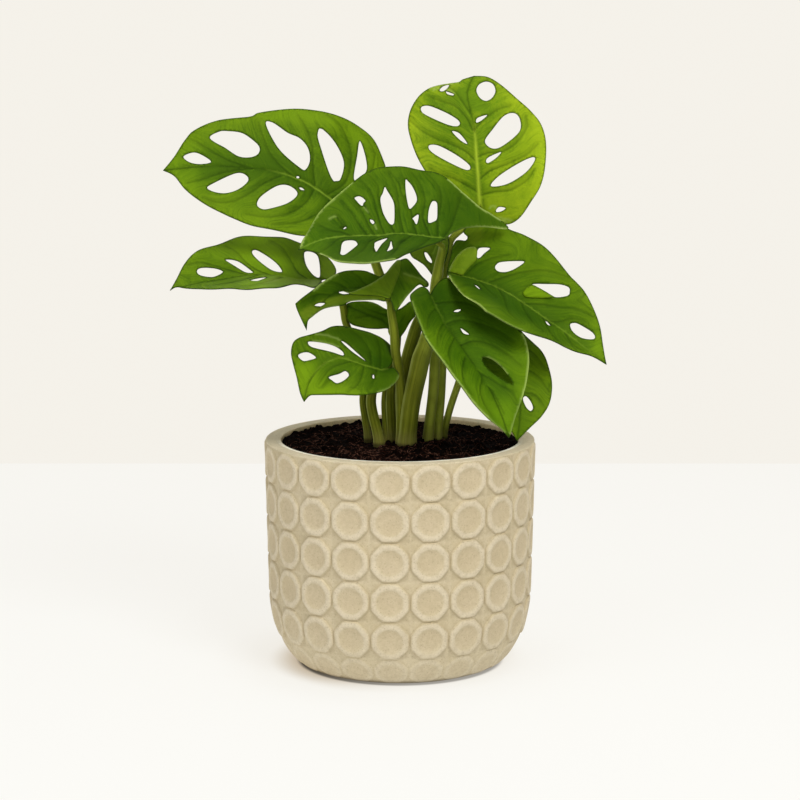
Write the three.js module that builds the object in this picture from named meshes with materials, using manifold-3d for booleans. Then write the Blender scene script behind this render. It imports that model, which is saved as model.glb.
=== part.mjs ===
// Monstera adansonii in a round planter with rows of raised rings.
// Millimetres, +Z up, origin at the centre of the pot's foot, front of the plant towards -Y.
import * as THREE from "three";
import { mergeVertices } from "three/addons/utils/BufferGeometryUtils.js";
import Module from "manifold-3d";

const wasm = await Module();
wasm.setup();

// ---------------------------------------------------------------- driving dimensions

const POT = {
  height: 113,
  rimRadius: 67.2,
  wallRadius: 66.6, // between the rings, just under the rim
  taper: 2.5, // how much narrower the wall is at the foot
  footRadius: 47,
  cornerRise: 38, // height at which the wall starts to round in to the foot
  cornerRun: 18,
  mouthRadius: 59.3,
  floor: 9,
  inside: [[58, 44], [55, 25], [47, 13], [38, 9]], // radius and height down the inside wall
  edge: 0.6, // rounding of the two rim edges
  steps: 60, // straight pieces down the wall's line
};

const RINGS = {
  columns: 21,
  rows: 5, // full rows, and one more that fades out on the rounded foot
  pitch: 19.7,
  firstCentre: 103.9,
  lastPitch: 17.8,
  turn: -94.3, // degrees from +X to the middle of a column
  apothem: 9.6, // of the octagonal outside of a ring
  crestRadius: 8.6,
  dishRadius: 5.9,
  foot: 0.1, // relief over the wall at the outside, the crest, the dish's edge and its middle
  crest: 1.15,
  dish: 0.35,
  middle: 0.1,
  fade: 0.4,
  sides: 8,
  margin: 0.4, // how far a ring stays inside its own cell, up and down
  underRim: 0.1, // where the first row's cells start, down the wall from the rim
};

const SOIL = { top: 109.8, gap: 0.4, lump: 0.8, rings: [56, 46, 36, 26, 14] };
const HOLE = { floor: 78, clearance: 0.45, sides: 12 }; // floor is the height of its bottom
const BLADE = {
  thickness: 0.8,
  crease: 3, // width over which the fold at the midrib is rounded
  waves: 9, // radians of rim wave over the length
  waveSpan: 30, // distance from the midrib at which the wave reaches its full height
  edgeStep: 4.2, // distance between points on the rim, on a hole's rim and inside
  holeStep: 3,
  grid: 8,
  clearOfRim: 3.4,
  leastTriangle: 0.2, // twice the least area of a new triangle
};
// end is the height of the foot in its hole. approach is how far before and after the start of the
// midrib the last two stops lie, seat the gap under the blade there, slant what the slope adds.
const STALK = { sides: 8, steps: 15, end: 78.4, approach: 2.5, seat: 0.35, slant: 1.05 };

// Leaves are drawn in front elevation on a sheet ruled in half millimetres, as the eye at this
// station sees them, and each line is then carried back along its line of sight to the leaf's
// own curved surface. The line of sight through the sheet's centre dips by the pitch.
const EYE = { distance: 1250, height: 350, pitch: 9.88, reach: 2547, centre: 400 };
const SEARCH = { step: 2, steps: 25, halvings: 16, passes: 60 };

// back and front are the two edges from base to tip, far and near; depth gives Y at base and tip.
// lean turns the back half up, arch lifts the middle of the midrib, fold raises both halves.
const LEAVES = {
  upper_left: {
    base: [345, 206], tip: [163, 170.5], depth: [20, 2], turn: 1,
    lean: 63, arch: 5, fold: 0.06, wave: 1,
    back: [[362, 204], [378, 192], [386, 172], [381, 154], [372, 138], [357, 125], [338, 116],
      [321, 111], [298, 109], [276, 110], [258, 113], [249, 117], [219, 120], [195, 130],
      [185, 140], [174, 157]],
    front: [[350, 216], [343, 229], [328, 236], [304, 236], [278, 231], [254, 226], [234, 219],
      [219, 211.5], [201, 202], [185, 189], [174, 176]],
    holes: [
      [[183.5, 156.5], [194, 152.5], [204, 156], [211, 162], [200, 164], [189, 162]],
      [[210, 138], [219, 131.5], [228, 131], [244, 134], [258, 144.5], [259, 152.5],
        [252, 157], [239, 156.5], [225, 148]],
      [[266, 124], [272, 122], [287, 132.5], [300, 138], [308, 148], [310, 160], [306, 169],
        [300, 168], [278, 148]],
      [[318, 132], [322, 129], [336.5, 144.5], [344, 162], [341, 178], [336.5, 181],
        [331, 177], [319, 143]],
      [[360, 141], [366, 159], [366, 172], [354, 180], [357, 156]],
      [[207, 188], [214, 183], [236, 173], [246, 175], [248, 181], [239, 189], [226.5, 193],
        [214, 192]],
      [[257, 203.5], [262, 195.5], [278, 185.5], [290, 186], [297.5, 194], [287, 203.5],
        [268, 209], [260, 208]],
    ],
    petiole: { root: [-3.65, 5], radius: [2.4, 1.6], via: [[390.6, 394, 9], [394, 360, 14],
      [396, 330, 18], [391, 302, 20], [380, 276, 20.5], [368, 245, 21]] },
  },
  upper_right: {
    base: [481, 203], tip: [474, 76], depth: [22, 40], turn: -1,
    lean: 0, arch: 5, fold: 0.12, wave: 1,
    back: [[474, 212], [455, 208], [438, 192], [424.5, 170], [416, 154], [410.5, 139],
      [408, 124.5], [410.5, 110], [418, 97], [427, 89], [441, 83.5], [460, 79]],
    front: [[488, 214], [499, 223], [510, 224], [520.6, 217], [531, 202], [541, 185],
      [545.5, 163], [546, 142], [541, 124.5], [531, 111], [516, 98], [500, 84], [487, 77]],
    holes: [
      [[486, 81.5], [493, 84], [495.5, 91], [492, 98], [486, 101], [480, 98], [476.5, 91],
        [479, 84.5]],
      [[421.5, 107], [430, 106], [447, 113], [459, 121], [458, 126], [448, 125], [430, 117],
        [422, 112]],
      [[430, 145], [440, 146], [458, 156], [470, 166], [467, 170], [452, 164], [436, 155],
        [429, 149]],
      [[485, 141], [491, 148], [501.5, 146.5], [519, 132], [520, 119], [514, 113],
        [504, 116], [493, 129]],
      [[491, 186], [507, 184], [525, 173], [534.5, 161], [533, 157], [519, 163], [499, 176]],
      [[452, 131.5], [459, 133], [466, 141], [467, 144], [460, 140]],
      [[486, 161], [489, 157], [501, 152], [496, 158], [488, 163]],
    ],
    petiole: { root: [18.7, 6], radius: [1.9, 1.5], via: [[441, 388, 8], [446, 330, 15],
      [449, 290, 20], [452.5, 262, 21], [462, 236, 25]] },
  },
  front: {
    base: [446, 238], tip: [298, 250], depth: [-19, -44], turn: 1,
    lean: 38, arch: 3, fold: 0.34, wave: 0,
    back: [[454, 232], [467, 228], [488, 227], [508, 229], [500, 219.5], [490.5, 213],
      [479, 207], [462, 191], [447, 179], [434, 172], [417.5, 169.5], [398, 166.6],
      [381, 167], [367, 172.5], [353, 182], [336, 196], [319, 213], [307, 233], [302.5, 240]],
    front: [[436, 243.5], [424.5, 247], [406, 254], [395, 260], [378, 262], [359, 264],
      [340, 262], [323.5, 255], [305, 250]],
    holes: [
      [[328, 219], [336, 216], [341, 221], [344.5, 228], [337, 226]],
      [[354, 198], [362, 205], [370, 217], [376, 229], [370, 228], [361, 216]],
      [[384.5, 187], [391, 194], [394, 203], [394, 220], [391, 224], [384, 213], [380, 199]],
      [[405, 180], [412, 185], [417, 199], [419, 213], [417, 224], [411, 217], [406, 200]],
      [[431.5, 202], [437, 202.6], [437, 217], [429, 223], [428, 217]],
      [[342, 243], [349, 240.5], [357, 242], [350, 254], [340, 254.5]],
      [[375, 251], [376, 243], [384, 239], [393, 240], [393, 248], [386, 252]],
    ],
    petiole: { root: [14, 2.5], radius: [2.75, 2.5], via: [[432.6, 390, 2], [434.5, 350, 4],
      [434, 293, 8], [438, 273.6, 3]] },
  },
  left: {
    base: [322.5, 279], tip: [170, 290.5], depth: [8, -14], turn: 1,
    lean: 22, arch: 5, fold: 0.27, wave: 0,
    back: [[330, 279], [336, 273], [334, 265], [326, 256], [313, 247], [298, 242], [273, 237],
      [253, 236], [236, 238], [216, 245], [196.5, 252], [185, 263], [177, 278]],
    front: [[318, 286], [312.5, 288], [303, 285], [293, 284], [276, 288], [253, 289],
      [226, 289], [196.5, 289], [178, 287]],
    holes: [
      [[197, 271], [201.5, 268], [216, 268], [223, 272], [213, 277], [200, 275.5]],
      [[225.5, 260], [239, 262], [253, 272], [244, 271.5]],
      [[252, 251.5], [258, 250], [276, 263], [282, 272], [271, 270], [256, 258]],
      [[305, 251.5], [317.5, 256], [320, 276], [314, 276], [306, 265]],
    ],
    petiole: { root: [-16.8, 8.3], radius: [1.75, 1.5], via: [[362.5, 396, 7], [354, 355, 3],
      [345.6, 326, 1], [341.8, 305, 1]] },
  },
  folded: {
    base: [388, 294], tip: [306.6, 330.5], depth: [-12, -26], turn: 1,
    lean: 52, arch: 5, fold: 0.15, wave: 0,
    back: [[393, 303], [396, 311], [403, 302], [412, 292], [420, 285], [428, 281], [422, 274],
      [409, 260.5], [403, 259], [396, 262], [389, 270], [380, 276.5], [373, 274], [365, 271],
      [353, 270], [341, 272], [327, 279], [311, 291], [298, 301.5], [296, 307]],
    front: [[385, 301], [378, 300], [365, 300], [351, 301], [344, 305], [338, 306], [323, 309],
      [312, 317], [308, 321]],
    holes: [
      [[314.5, 305.6], [319, 303], [325, 303], [321, 306]],
      [[338, 293], [344, 291], [351, 293], [345, 294.5]],
    ],
    petiole: { root: [-0.25, -3], radius: [2.3, 2.1], via: [[398.5, 400, -5], [398, 375, -6.5],
      [399.5, 350, -8], [396.5, 328, -8.5], [391.5, 307, -9]] },
  },
  shaded: {
    base: [396, 334], tip: [345, 305], depth: [5, 13], turn: 1,
    lean: 62, arch: 3, fold: 0.1, wave: 0,
    back: [[409, 323], [415, 315], [415, 305], [409, 300], [395, 299], [380, 301],
      [365, 301.5], [352, 302]],
    front: [[394, 333], [389, 327], [377, 329], [365, 328], [351, 324], [346, 315]],
    holes: [],
    petiole: { root: [-7, -1], radius: [1.2, 1.1], via: [[384, 400, -1], [388, 380, 0],
      [396, 360, 3]] },
  },
  lower_left: {
    base: [388, 368], tip: [304, 402], depth: [-17, -38], turn: 1,
    lean: 54, arch: 7, fold: 0.05, wave: 0,
    back: [[392, 363], [393, 353], [390, 345], [383, 339], [373, 334], [361.5, 330],
      [350, 327], [340, 326], [331, 327], [322, 331], [308, 335], [299, 338], [293, 343],
      [291, 353], [293, 364], [296.5, 377], [300, 393]],
    front: [[394, 368], [399, 375], [396, 382], [388, 389], [378, 393], [361.5, 395],
      [339, 395], [316, 395], [309.5, 396]],
    holes: [
      [[308, 342], [314, 341.5], [328, 344], [337, 347.5], [343, 352], [343, 355.5],
        [331, 352], [312, 347]],
      [[298, 356], [302, 353], [309, 352.5], [316, 357.5], [310, 360], [303, 361]],
      [[329, 377], [339, 374], [345.5, 371], [349, 375], [344, 380.5], [337, 383.5],
        [332, 380.5]],
    ],
    petiole: { root: [-10.7, -4.9], radius: [2.9, 1.5], via: [[371, 400, -8], [377, 382, -13]] },
  },
  front_right: {
    base: [430.5, 294], tip: [509, 438], depth: [-5, -40], turn: 1,
    lean: -20, arch: 6, fold: 0.3, wave: 0,
    back: [[427, 289], [421, 287], [413, 292], [410, 298], [416, 315], [424, 336], [435, 352],
      [446, 367], [460, 385], [472, 402], [487, 417.5], [501, 429]],
    front: [[437, 284], [446, 278], [456, 285], [468, 294], [482, 303], [496, 313],
      [511, 323], [522, 333], [527, 342.5], [529, 358], [527, 381], [522, 399], [515, 419], [512, 431]],
    holes: [
      [[482, 358.5], [489, 358], [499, 365], [507, 374], [513, 384], [502.5, 379],
        [489, 370]],
    ],
    petiole: { root: [5.7, -1.5], radius: [2.9, 2], via: [[412, 394, -2], [417, 375, -3],
      [421.5, 360, -4], [428, 340, -5], [431, 316, -4]] },
  },
  right: {
    base: [447, 273], tip: [606.5, 364.6], depth: [3, -22], turn: -1,
    lean: 39, arch: 6, fold: 0.45, wave: 0,
    back: [[450, 264], [453, 252], [458, 242], [466, 238], [468, 228], [480, 222], [496, 222],
      [510, 230], [525, 235], [541, 244.5], [556, 258], [571, 277], [585, 292], [594, 309],
      [600, 327], [603, 345.5]],
    front: [[453.5, 284], [463, 295], [478, 304], [486, 312], [502.5, 321], [524, 332],
      [548, 339], [571, 350], [591, 356]],
    holes: [
      [[478, 248], [489, 248], [484, 253], [479.5, 257]],
      [[495, 267.5], [497, 264], [502.5, 262], [524, 261], [516, 268], [506, 272],
        [498, 271.5]],
      [[523, 292], [524, 287], [533, 284.5], [550, 284], [564, 286], [571, 292], [570, 297],
        [550, 297.5], [533, 298]],
      [[570, 325], [573, 323], [579, 324], [593, 333], [594, 339], [582, 338], [573, 332]],
    ],
    petiole: { root: [2.2, 4.5], radius: [2.6, 1.8], via: [[401.5, 394, 4.5], [404.5, 375, 5],
      [409.5, 358, 6], [417, 340, 9], [426, 320, 13], [436, 301, 16], [444, 286, 15]] },
  },
  behind_right: {
    base: [500, 322], tip: [517, 441], depth: [10, -26], turn: -1,
    lean: 0, arch: 6, fold: 0.1, wave: 0,
    back: [[510, 320], [524, 334], [533, 342.5], [542, 352], [548, 364], [552, 384],
      [550, 402], [542, 416], [530, 428]],
    front: [[492, 326], [487, 345], [490, 370], [498, 395], [507, 420]],
    holes: [
      [[523, 399], [526, 396], [531, 402], [533, 408], [530.5, 411], [526, 407]],
    ],
    petiole: { root: [23.9, 14], radius: [1.3, 1.1], via: [[457.7, 386, 9], [464, 368, 8.5],
      [480, 342, 8]] },
  },
  small_back: {
    base: [440, 240], tip: [428, 276], depth: [22, 17], turn: 1,
    lean: 0, arch: 2, fold: 0.1, wave: 0,
    back: [[432, 232], [417, 236], [409, 247], [412, 258], [420, 268]],
    front: [[447, 234], [450, 246], [446, 260], [438, 271]],
    holes: [[[424, 252.5], [427, 253], [431, 259], [432, 263], [427, 260]]],
    petiole: { root: [15.8, 12], radius: [1.2, 1.1], via: [[433.5, 388, 14], [436, 345, 19],
      [439, 292, 25]] },
  },
};

// ---------------------------------------------------------------- materials

const material = (color, roughness) =>
  new THREE.MeshStandardMaterial({ color, roughness, metalness: 0 });
const CERAMIC = material(0xcdbf9d, 0.85);
const EARTH = material(0x2e1d12, 1);
const LEAF = material(0x47780f, 0.45);
const STEM = material(0x6b7c22, 0.55);

// ---------------------------------------------------------------- mesh helpers

const radians = THREE.MathUtils.degToRad;

function named(name, geometry, look) {
  const mesh = new THREE.Mesh(geometry, look);
  mesh.name = name;
  return mesh;
}

function signedVolume(points, faces) {
  const cross = new THREE.Vector3();
  return faces.reduce(
    (sum, [a, b, c]) => sum + points[a].dot(cross.crossVectors(points[b], points[c])) / 6, 0);
}

// A closed body from points and triangles, turned so that its faces point out.
function body(points, faces) {
  const outward = signedVolume(points, faces) > 0;
  const geometry = new THREE.BufferGeometry().setFromPoints(points);
  geometry.setIndex(faces.flatMap(([a, b, c]) => (outward ? [a, b, c] : [a, c, b])));
  geometry.computeVertexNormals();
  return geometry;
}

// Joins rings of equally many points, one after the other, and closes both ends with a fan.
function stackOfRings(rings) {
  const count = rings[0].length;
  const points = rings.flat();
  const faces = [];
  for (let ring = 0; ring + 1 < rings.length; ring++) {
    for (let i = 0; i < count; i++) {
      const a = ring * count + i;
      const b = ring * count + ((i + 1) % count);
      faces.push([a, b, a + count], [b, b + count, a + count]);
    }
  }
  const middle = (ring) =>
    ring.reduce((sum, p) => sum.add(p), new THREE.Vector3()).divideScalar(count);
  const first = points.push(middle(rings[0])) - 1;
  const last = points.push(middle(rings.at(-1))) - 1;
  const start = (rings.length - 1) * count;
  for (let i = 0; i < count; i++) {
    const next = (i + 1) % count;
    faces.push([first, next, i], [last, start + i, start + next]);
  }
  return body(points, faces);
}

const polar = (radius, angle, z) =>
  new THREE.Vector3(radius * Math.cos(angle), radius * Math.sin(angle), z);

const circle = (radius, z, count) =>
  Array.from({ length: count }, (_, i) => polar(radius, (2 * Math.PI * i) / count, z));

function solid(geometry) {
  const bare = geometry.clone();
  bare.deleteAttribute("normal");
  bare.deleteAttribute("uv");
  const merged = mergeVertices(bare, 1e-4);
  return new wasm.Manifold(new wasm.Mesh({
    numProp: 3,
    vertProperties: merged.attributes.position.array,
    triVerts: new Uint32Array(merged.index.array),
  }));
}

function geometryOf(manifold) {
  const mesh = manifold.getMesh();
  const geometry = new THREE.BufferGeometry();
  geometry.setAttribute("position", new THREE.BufferAttribute(mesh.vertProperties, 3));
  geometry.setIndex(new THREE.BufferAttribute(mesh.triVerts, 1));
  geometry.computeVertexNormals();
  return geometry;
}

// ---------------------------------------------------------------- pot

// Radius of the plain wall at height z, without the rings.
function wallRadius(z) {
  const straight = POT.wallRadius - POT.taper * (1 - z / POT.height);
  const drop = THREE.MathUtils.clamp((POT.cornerRise - z) / POT.cornerRise, 0, 1);
  return straight - POT.cornerRun * (1 - Math.sqrt(1 - drop * drop));
}

// The wall as a line from the rim down, measured along its length.
const WALL = new THREE.CurvePath();
for (let i = 0; i < POT.steps; i++) {
  const at = (k) => {
    const z = POT.height * (1 - k / POT.steps);
    return new THREE.Vector2(wallRadius(z), z);
  };
  WALL.add(new THREE.LineCurve(at(i), at(i + 1)));
}
const WALL_LENGTH = WALL.getLength();

// Point of the wall at a distance along the line, with relief square to the wall.
function wallPoint(distance, angle, relief) {
  const share = THREE.MathUtils.clamp(distance / WALL_LENGTH, 0, 1);
  const p = WALL.getPointAt(share);
  const along = WALL.getTangentAt(share);
  return polar(p.x - relief * along.y, angle, p.y + relief * along.x);
}

function pot() {
  const half = RINGS.pitch / 2;
  const firstEnd = POT.height - RINGS.firstCentre + half;
  const bounds = [RINGS.underRim];
  for (let row = 0; row < RINGS.rows; row++) bounds.push(firstEnd + row * RINGS.pitch);
  bounds.push(bounds.at(-1) + RINGS.lastPitch);

  const points = [];
  const faces = [];
  const add = (point) => points.push(point) - 1;
  const around = 2 * RINGS.columns;
  const step = (2 * Math.PI) / around;
  const start = radians(RINGS.turn) - step;
  const ringOf = (place) =>
    Array.from({ length: around }, (_, i) => add(place(start + i * step)));
  const join = (upper, lower) => upper.forEach((a, i) => {
    const b = upper[(i + 1) % around];
    faces.push([a, lower[i], b], [b, lower[i], lower[(i + 1) % around]]);
  });
  const close = (ring, centre, down) => {
    const middle = add(centre);
    ring.forEach((a, i) => {
      const b = ring[(i + 1) % around];
      faces.push(down ? [a, middle, b] : [a, b, middle]);
    });
  };

  const edges = bounds.map((distance) => ringOf((angle) => wallPoint(distance, angle, 0)));

  // One cell: the wall's corner pieces, a raised ring with an octagonal outside, and its dish.
  const { sides, margin } = RINGS;
  const outside = RINGS.apothem / Math.cos(Math.PI / sides);
  for (let row = 0; row <= RINGS.rows; row++) {
    const [top, bottom] = [bounds[row], bounds[row + 1]];
    const faded = row === RINGS.rows ? RINGS.fade : 1;
    const centre = row === 0 ? POT.height - RINGS.firstCentre : (top + bottom) / 2;
    const squash = row === RINGS.rows ? RINGS.lastPitch / RINGS.pitch : 1;
    for (let column = 0; column < RINGS.columns; column++) {
      const middle = start + (2 * column + 1) * step;
      const loopOf = (radius, relief) => Array.from({ length: sides }, (_, i) => {
        const turn = (i + 0.5) * (2 * Math.PI / sides);
        const across = (radius * Math.cos(turn)) / POT.wallRadius;
        const down = centre - radius * Math.sin(turn) * squash;
        const clear = THREE.MathUtils.clamp(down, top + margin, bottom - margin);
        return { turn, index: add(wallPoint(clear, middle + across, relief * faded)) };
      });
      const corner = (ring, offset, turn) => ({
        turn: radians(turn),
        index: ring[(2 * column + offset) % around],
      });
      const [upper, lower] = [edges[row], edges[row + 1]];
      const cell = [corner(upper, 2, 45), corner(upper, 1, 90), corner(upper, 0, 135),
        corner(lower, 0, 225), corner(lower, 1, 270), corner(lower, 2, 315)];
      const loops = [cell, loopOf(outside, RINGS.foot), loopOf(RINGS.crestRadius, RINGS.crest),
        loopOf(RINGS.dishRadius, RINGS.dish)];
      for (let i = 0; i + 1 < loops.length; i++) bridge(loops[i], loops[i + 1], faces);
      const dish = add(wallPoint(centre, middle, RINGS.middle * faded));
      loops.at(-1).forEach((p, i, loop) =>
        faces.push([p.index, loop[(i + 1) % sides].index, dish]));
    }
  }

  const level = (radius, z) => ringOf((angle) => polar(radius, angle, z));
  const rim = level(POT.rimRadius, POT.height - POT.edge);
  const inward = [
    edges[0],
    level(POT.rimRadius - POT.edge, POT.height),
    level(POT.mouthRadius + POT.edge, POT.height),
    level(POT.mouthRadius, POT.height - POT.edge),
    ...POT.inside.map(([radius, z]) => level(radius, z)),
  ];
  rim.forEach((index, i) => points[edges[0][i]].copy(points[index]));
  for (let i = 0; i + 1 < inward.length; i++) join(inward[i + 1], inward[i]);
  close(inward.at(-1), new THREE.Vector3(0, 0, POT.floor), false);
  const foot = level(POT.footRadius, 0);
  join(edges.at(-1), foot);
  close(foot, new THREE.Vector3(), true);
  return compact(points, faces);
}

// Triangles between two loops around the same centre, outer loop first, by growing angle.
function bridge(outer, inner, faces) {
  const full = 2 * Math.PI;
  const angle = (loop, i) => loop[i % loop.length].turn + full * Math.floor(i / loop.length);
  let o = 0;
  let i = 0;
  while (o < outer.length || i < inner.length) {
    const a = outer[o % outer.length].index;
    const b = inner[i % inner.length].index;
    const outerNext = o < outer.length
      && (i >= inner.length || angle(outer, o + 1) <= angle(inner, i + 1));
    if (outerNext) {
      faces.push([a, outer[(o + 1) % outer.length].index, b]);
      o += 1;
    } else {
      faces.push([a, inner[(i + 1) % inner.length].index, b]);
      i += 1;
    }
  }
}

// Drops points that no face uses.
function compact(points, faces) {
  const kept = new Map();
  const used = [];
  for (const index of faces.flat()) {
    if (!kept.has(index)) kept.set(index, used.push(points[index]) - 1);
  }
  return body(used, faces.map((face) => face.map((index) => kept.get(index))));
}

// ---------------------------------------------------------------- soil

function soil() {
  const around = 2 * RINGS.columns;
  const side = POT.inside.toReversed().map(([radius, z]) =>
    circle(radius - SOIL.gap, z + SOIL.gap, around));
  const [topWall, topHeight] = POT.inside[0];
  const shoulder = SOIL.top - 2 * SOIL.lump;
  const shoulderWall = THREE.MathUtils.mapLinear(
    shoulder, topHeight, POT.height - POT.edge, topWall, POT.mouthRadius);
  const broad = ({ x, y }) => Math.sin(x * 0.31 + 1) * Math.cos(y * 0.27);
  const fine = ({ x, y }) => 0.5 * Math.sin(x * 0.53 + y * 0.61);
  const lumpy = (p) => p.setZ(p.z + SOIL.lump * (broad(p) + fine(p)));
  return stackOfRings([
    ...side,
    circle(shoulderWall - SOIL.gap, shoulder, around),
    ...SOIL.rings.map((radius) => circle(radius, SOIL.top, around).map(lumpy)),
  ]);
}

function soilWithHoles() {
  let earth = solid(soil());
  for (const { petiole } of Object.values(LEAVES)) {
    const radius = (petiole.radius[0] + HOLE.clearance) / Math.cos(Math.PI / HOLE.sides);
    const depth = 2 * (SOIL.top - HOLE.floor);
    const plug = new THREE.CylinderGeometry(radius, radius, depth, HOLE.sides);
    plug.rotateX(Math.PI / 2);
    plug.translate(petiole.root[0], petiole.root[1], HOLE.floor + depth / 2);
    earth = earth.subtract(solid(plug));
  }
  return geometryOf(earth);
}

// ---------------------------------------------------------------- leaves

const EYE_POINT = new THREE.Vector3(0, -EYE.distance, EYE.height);

// Direction of the line of sight through a point of the sheet.
function sight([x, y]) {
  const pitch = radians(EYE.pitch);
  const up = (EYE.centre - y) / EYE.reach;
  return new THREE.Vector3(
    (x - EYE.centre) / EYE.reach,
    Math.cos(pitch) + up * Math.sin(pitch),
    up * Math.cos(pitch) - Math.sin(pitch));
}

// Where that line of sight reaches the upright plane at depth y.
function sighted(mark, depth) {
  const direction = sight(mark);
  return EYE_POINT.clone().addScaledVector(direction, (depth + EYE.distance) / direction.y);
}

// A blade's own frame: u along the midrib, v across it, and a height over the u-v plane.
function bladeSurface(leaf) {
  const origin = sighted(leaf.base, leaf.depth[0]);
  const end = sighted(leaf.tip, leaf.depth[1]);
  const length = origin.distanceTo(end);
  const along = end.clone().sub(origin).normalize();
  const flat = new THREE.Vector3(0, 0, 1);
  flat.addScaledVector(along, -flat.dot(along)).normalize();
  const side = new THREE.Vector3().crossVectors(along, flat).multiplyScalar(leaf.turn);
  const lean = radians(leaf.lean);
  const turned = (from, towards, angle) =>
    from.clone().multiplyScalar(Math.cos(angle)).addScaledVector(towards, Math.sin(angle));
  const across = turned(side, flat, lean);
  const up = turned(flat, side, -lean);

  const height = (u, v) => {
    const t = u / length;
    const fold = leaf.fold * (Math.hypot(v, BLADE.crease) - BLADE.crease);
    const wave = leaf.wave * Math.sin(BLADE.waves * t) * (v / BLADE.waveSpan) ** 2;
    return leaf.arch * 4 * t * (1 - t) + fold + wave;
  };
  const point = (u, v, lift = 0) => origin.clone()
    .addScaledVector(along, u)
    .addScaledVector(across, v)
    .addScaledVector(up, height(u, v) + lift);
  const normal = (u, v) => {
    const near = 0.05;
    const du = (height(u + near, v) - height(u - near, v)) / (2 * near);
    const dv = (height(u, v + near) - height(u, v - near)) / (2 * near);
    return up.clone().addScaledVector(along, -du).addScaledVector(across, -dv).normalize();
  };
  // The blade's own u and v where a line of sight meets its surface: the nearest crossing to the
  // sheet through the base, found by halving, or the closest pass where the line misses it.
  const locate = (mark) => {
    const direction = sight(mark);
    const middle = origin.clone().sub(EYE_POINT).dot(up) / direction.dot(up);
    const probe = (reach) => {
      const from = EYE_POINT.clone().addScaledVector(direction, reach).sub(origin);
      const place = new THREE.Vector2(from.dot(along), from.dot(across));
      return { reach, place, above: from.dot(up) - height(place.x, place.y) };
    };
    const probes = Array.from({ length: 2 * SEARCH.steps + 1 }, (_, i) =>
      probe(middle + (i - SEARCH.steps) * SEARCH.step));
    const nearer = (a, b) => Math.abs(a.reach - middle) - Math.abs(b.reach - middle);
    const crossing = probes.slice(1)
      .map((b, i) => [probes[i], b])
      .filter(([a, b]) => a.above * b.above <= 0)
      .sort(([a], [b]) => nearer(a, b))[0];
    const closer = (a, b) => Math.abs(a.above) - Math.abs(b.above);
    if (!crossing) return probes.sort(closer)[0].place;
    let [a, b] = crossing;
    for (let i = 0; i < SEARCH.halvings; i++) {
      const half = probe((a.reach + b.reach) / 2);
      if (half.above * a.above <= 0) b = half;
      else a = half;
    }
    return b.place;
  };
  return { point, normal, locate };
}

// Points along a smooth line through the given ones, about a step apart.
function smooth(marks, step, closed) {
  const count = marks.length;
  const within = (i) => THREE.MathUtils.clamp(i, 0, count - 1);
  const mark = (i) => marks[closed ? (i + count) % count : within(i)];
  const line = [];
  for (let i = 0; i < (closed ? count : count - 1); i++) {
    const [a, b, c, d] = [mark(i - 1), mark(i), mark(i + 1), mark(i + 2)];
    const pieces = Math.max(1, Math.round(b.distanceTo(c) / step));
    const span = new THREE.SplineCurve([a, b, c, d]);
    for (let k = 0; k < pieces; k++) line.push(span.getPoint((1 + k / pieces) / 3));
  }
  return line;
}

function inside(p, loop) {
  const crossed = loop.filter((a, i) => {
    const b = loop[(i + 1) % loop.length];
    return a.y > p.y !== b.y > p.y && p.x < a.x + ((b.x - a.x) * (p.y - a.y)) / (b.y - a.y);
  });
  return crossed.length % 2 === 1;
}

const area = (a, b, c) => (b.x - a.x) * (c.y - a.y) - (b.y - a.y) * (c.x - a.x);

// Even triangles over an outline with holes: the free points are set in one by one, and edges
// are then flipped until no triangle could be fatter.
function triangulate(outline, holes, free) {
  const points = [...outline, ...holes.flat()];
  const faces = THREE.ShapeUtils.triangulateShape(outline, holes).map(([a, b, c]) =>
    (area(points[a], points[b], points[c]) > 0 ? [a, b, c] : [a, c, b]));
  for (const p of free) {
    const host = faces.findIndex(([a, b, c]) =>
      Math.min(area(points[a], points[b], p), area(points[b], points[c], p),
        area(points[c], points[a], p)) > BLADE.leastTriangle);
    if (host < 0) continue;
    const [a, b, c] = faces[host];
    const n = points.push(p) - 1;
    faces.splice(host, 1, [a, b, n], [b, c, n], [c, a, n]);
  }
  for (let pass = 0, flipped = true; flipped && pass < SEARCH.passes; pass++) {
    flipped = false;
    const across = new Map();
    const touched = new Set();
    faces.forEach((face, f) => face.forEach((a, i) =>
      across.set(`${a} ${face[(i + 1) % 3]}`, [f, face[(i + 2) % 3]])));
    for (const [key, [f, c]] of across) {
      const [a, b] = key.split(" ").map(Number);
      const other = across.get(`${b} ${a}`);
      if (!other || a > b) continue;
      const [g, d] = other;
      if (touched.has(f) || touched.has(g)) continue;
      if (cornerAngle(points[a], points[c], points[b])
        + cornerAngle(points[a], points[d], points[b]) > Math.PI + 1e-6) {
        faces[f] = [c, d, b];
        faces[g] = [d, c, a];
        touched.add(f).add(g);
        flipped = true;
      }
    }
  }
  return { points, faces };
}

function cornerAngle(a, corner, b) {
  const p = a.clone().sub(corner);
  const q = b.clone().sub(corner);
  return Math.acos(THREE.MathUtils.clamp(p.dot(q) / (p.length() * q.length()), -1, 1));
}

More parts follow.
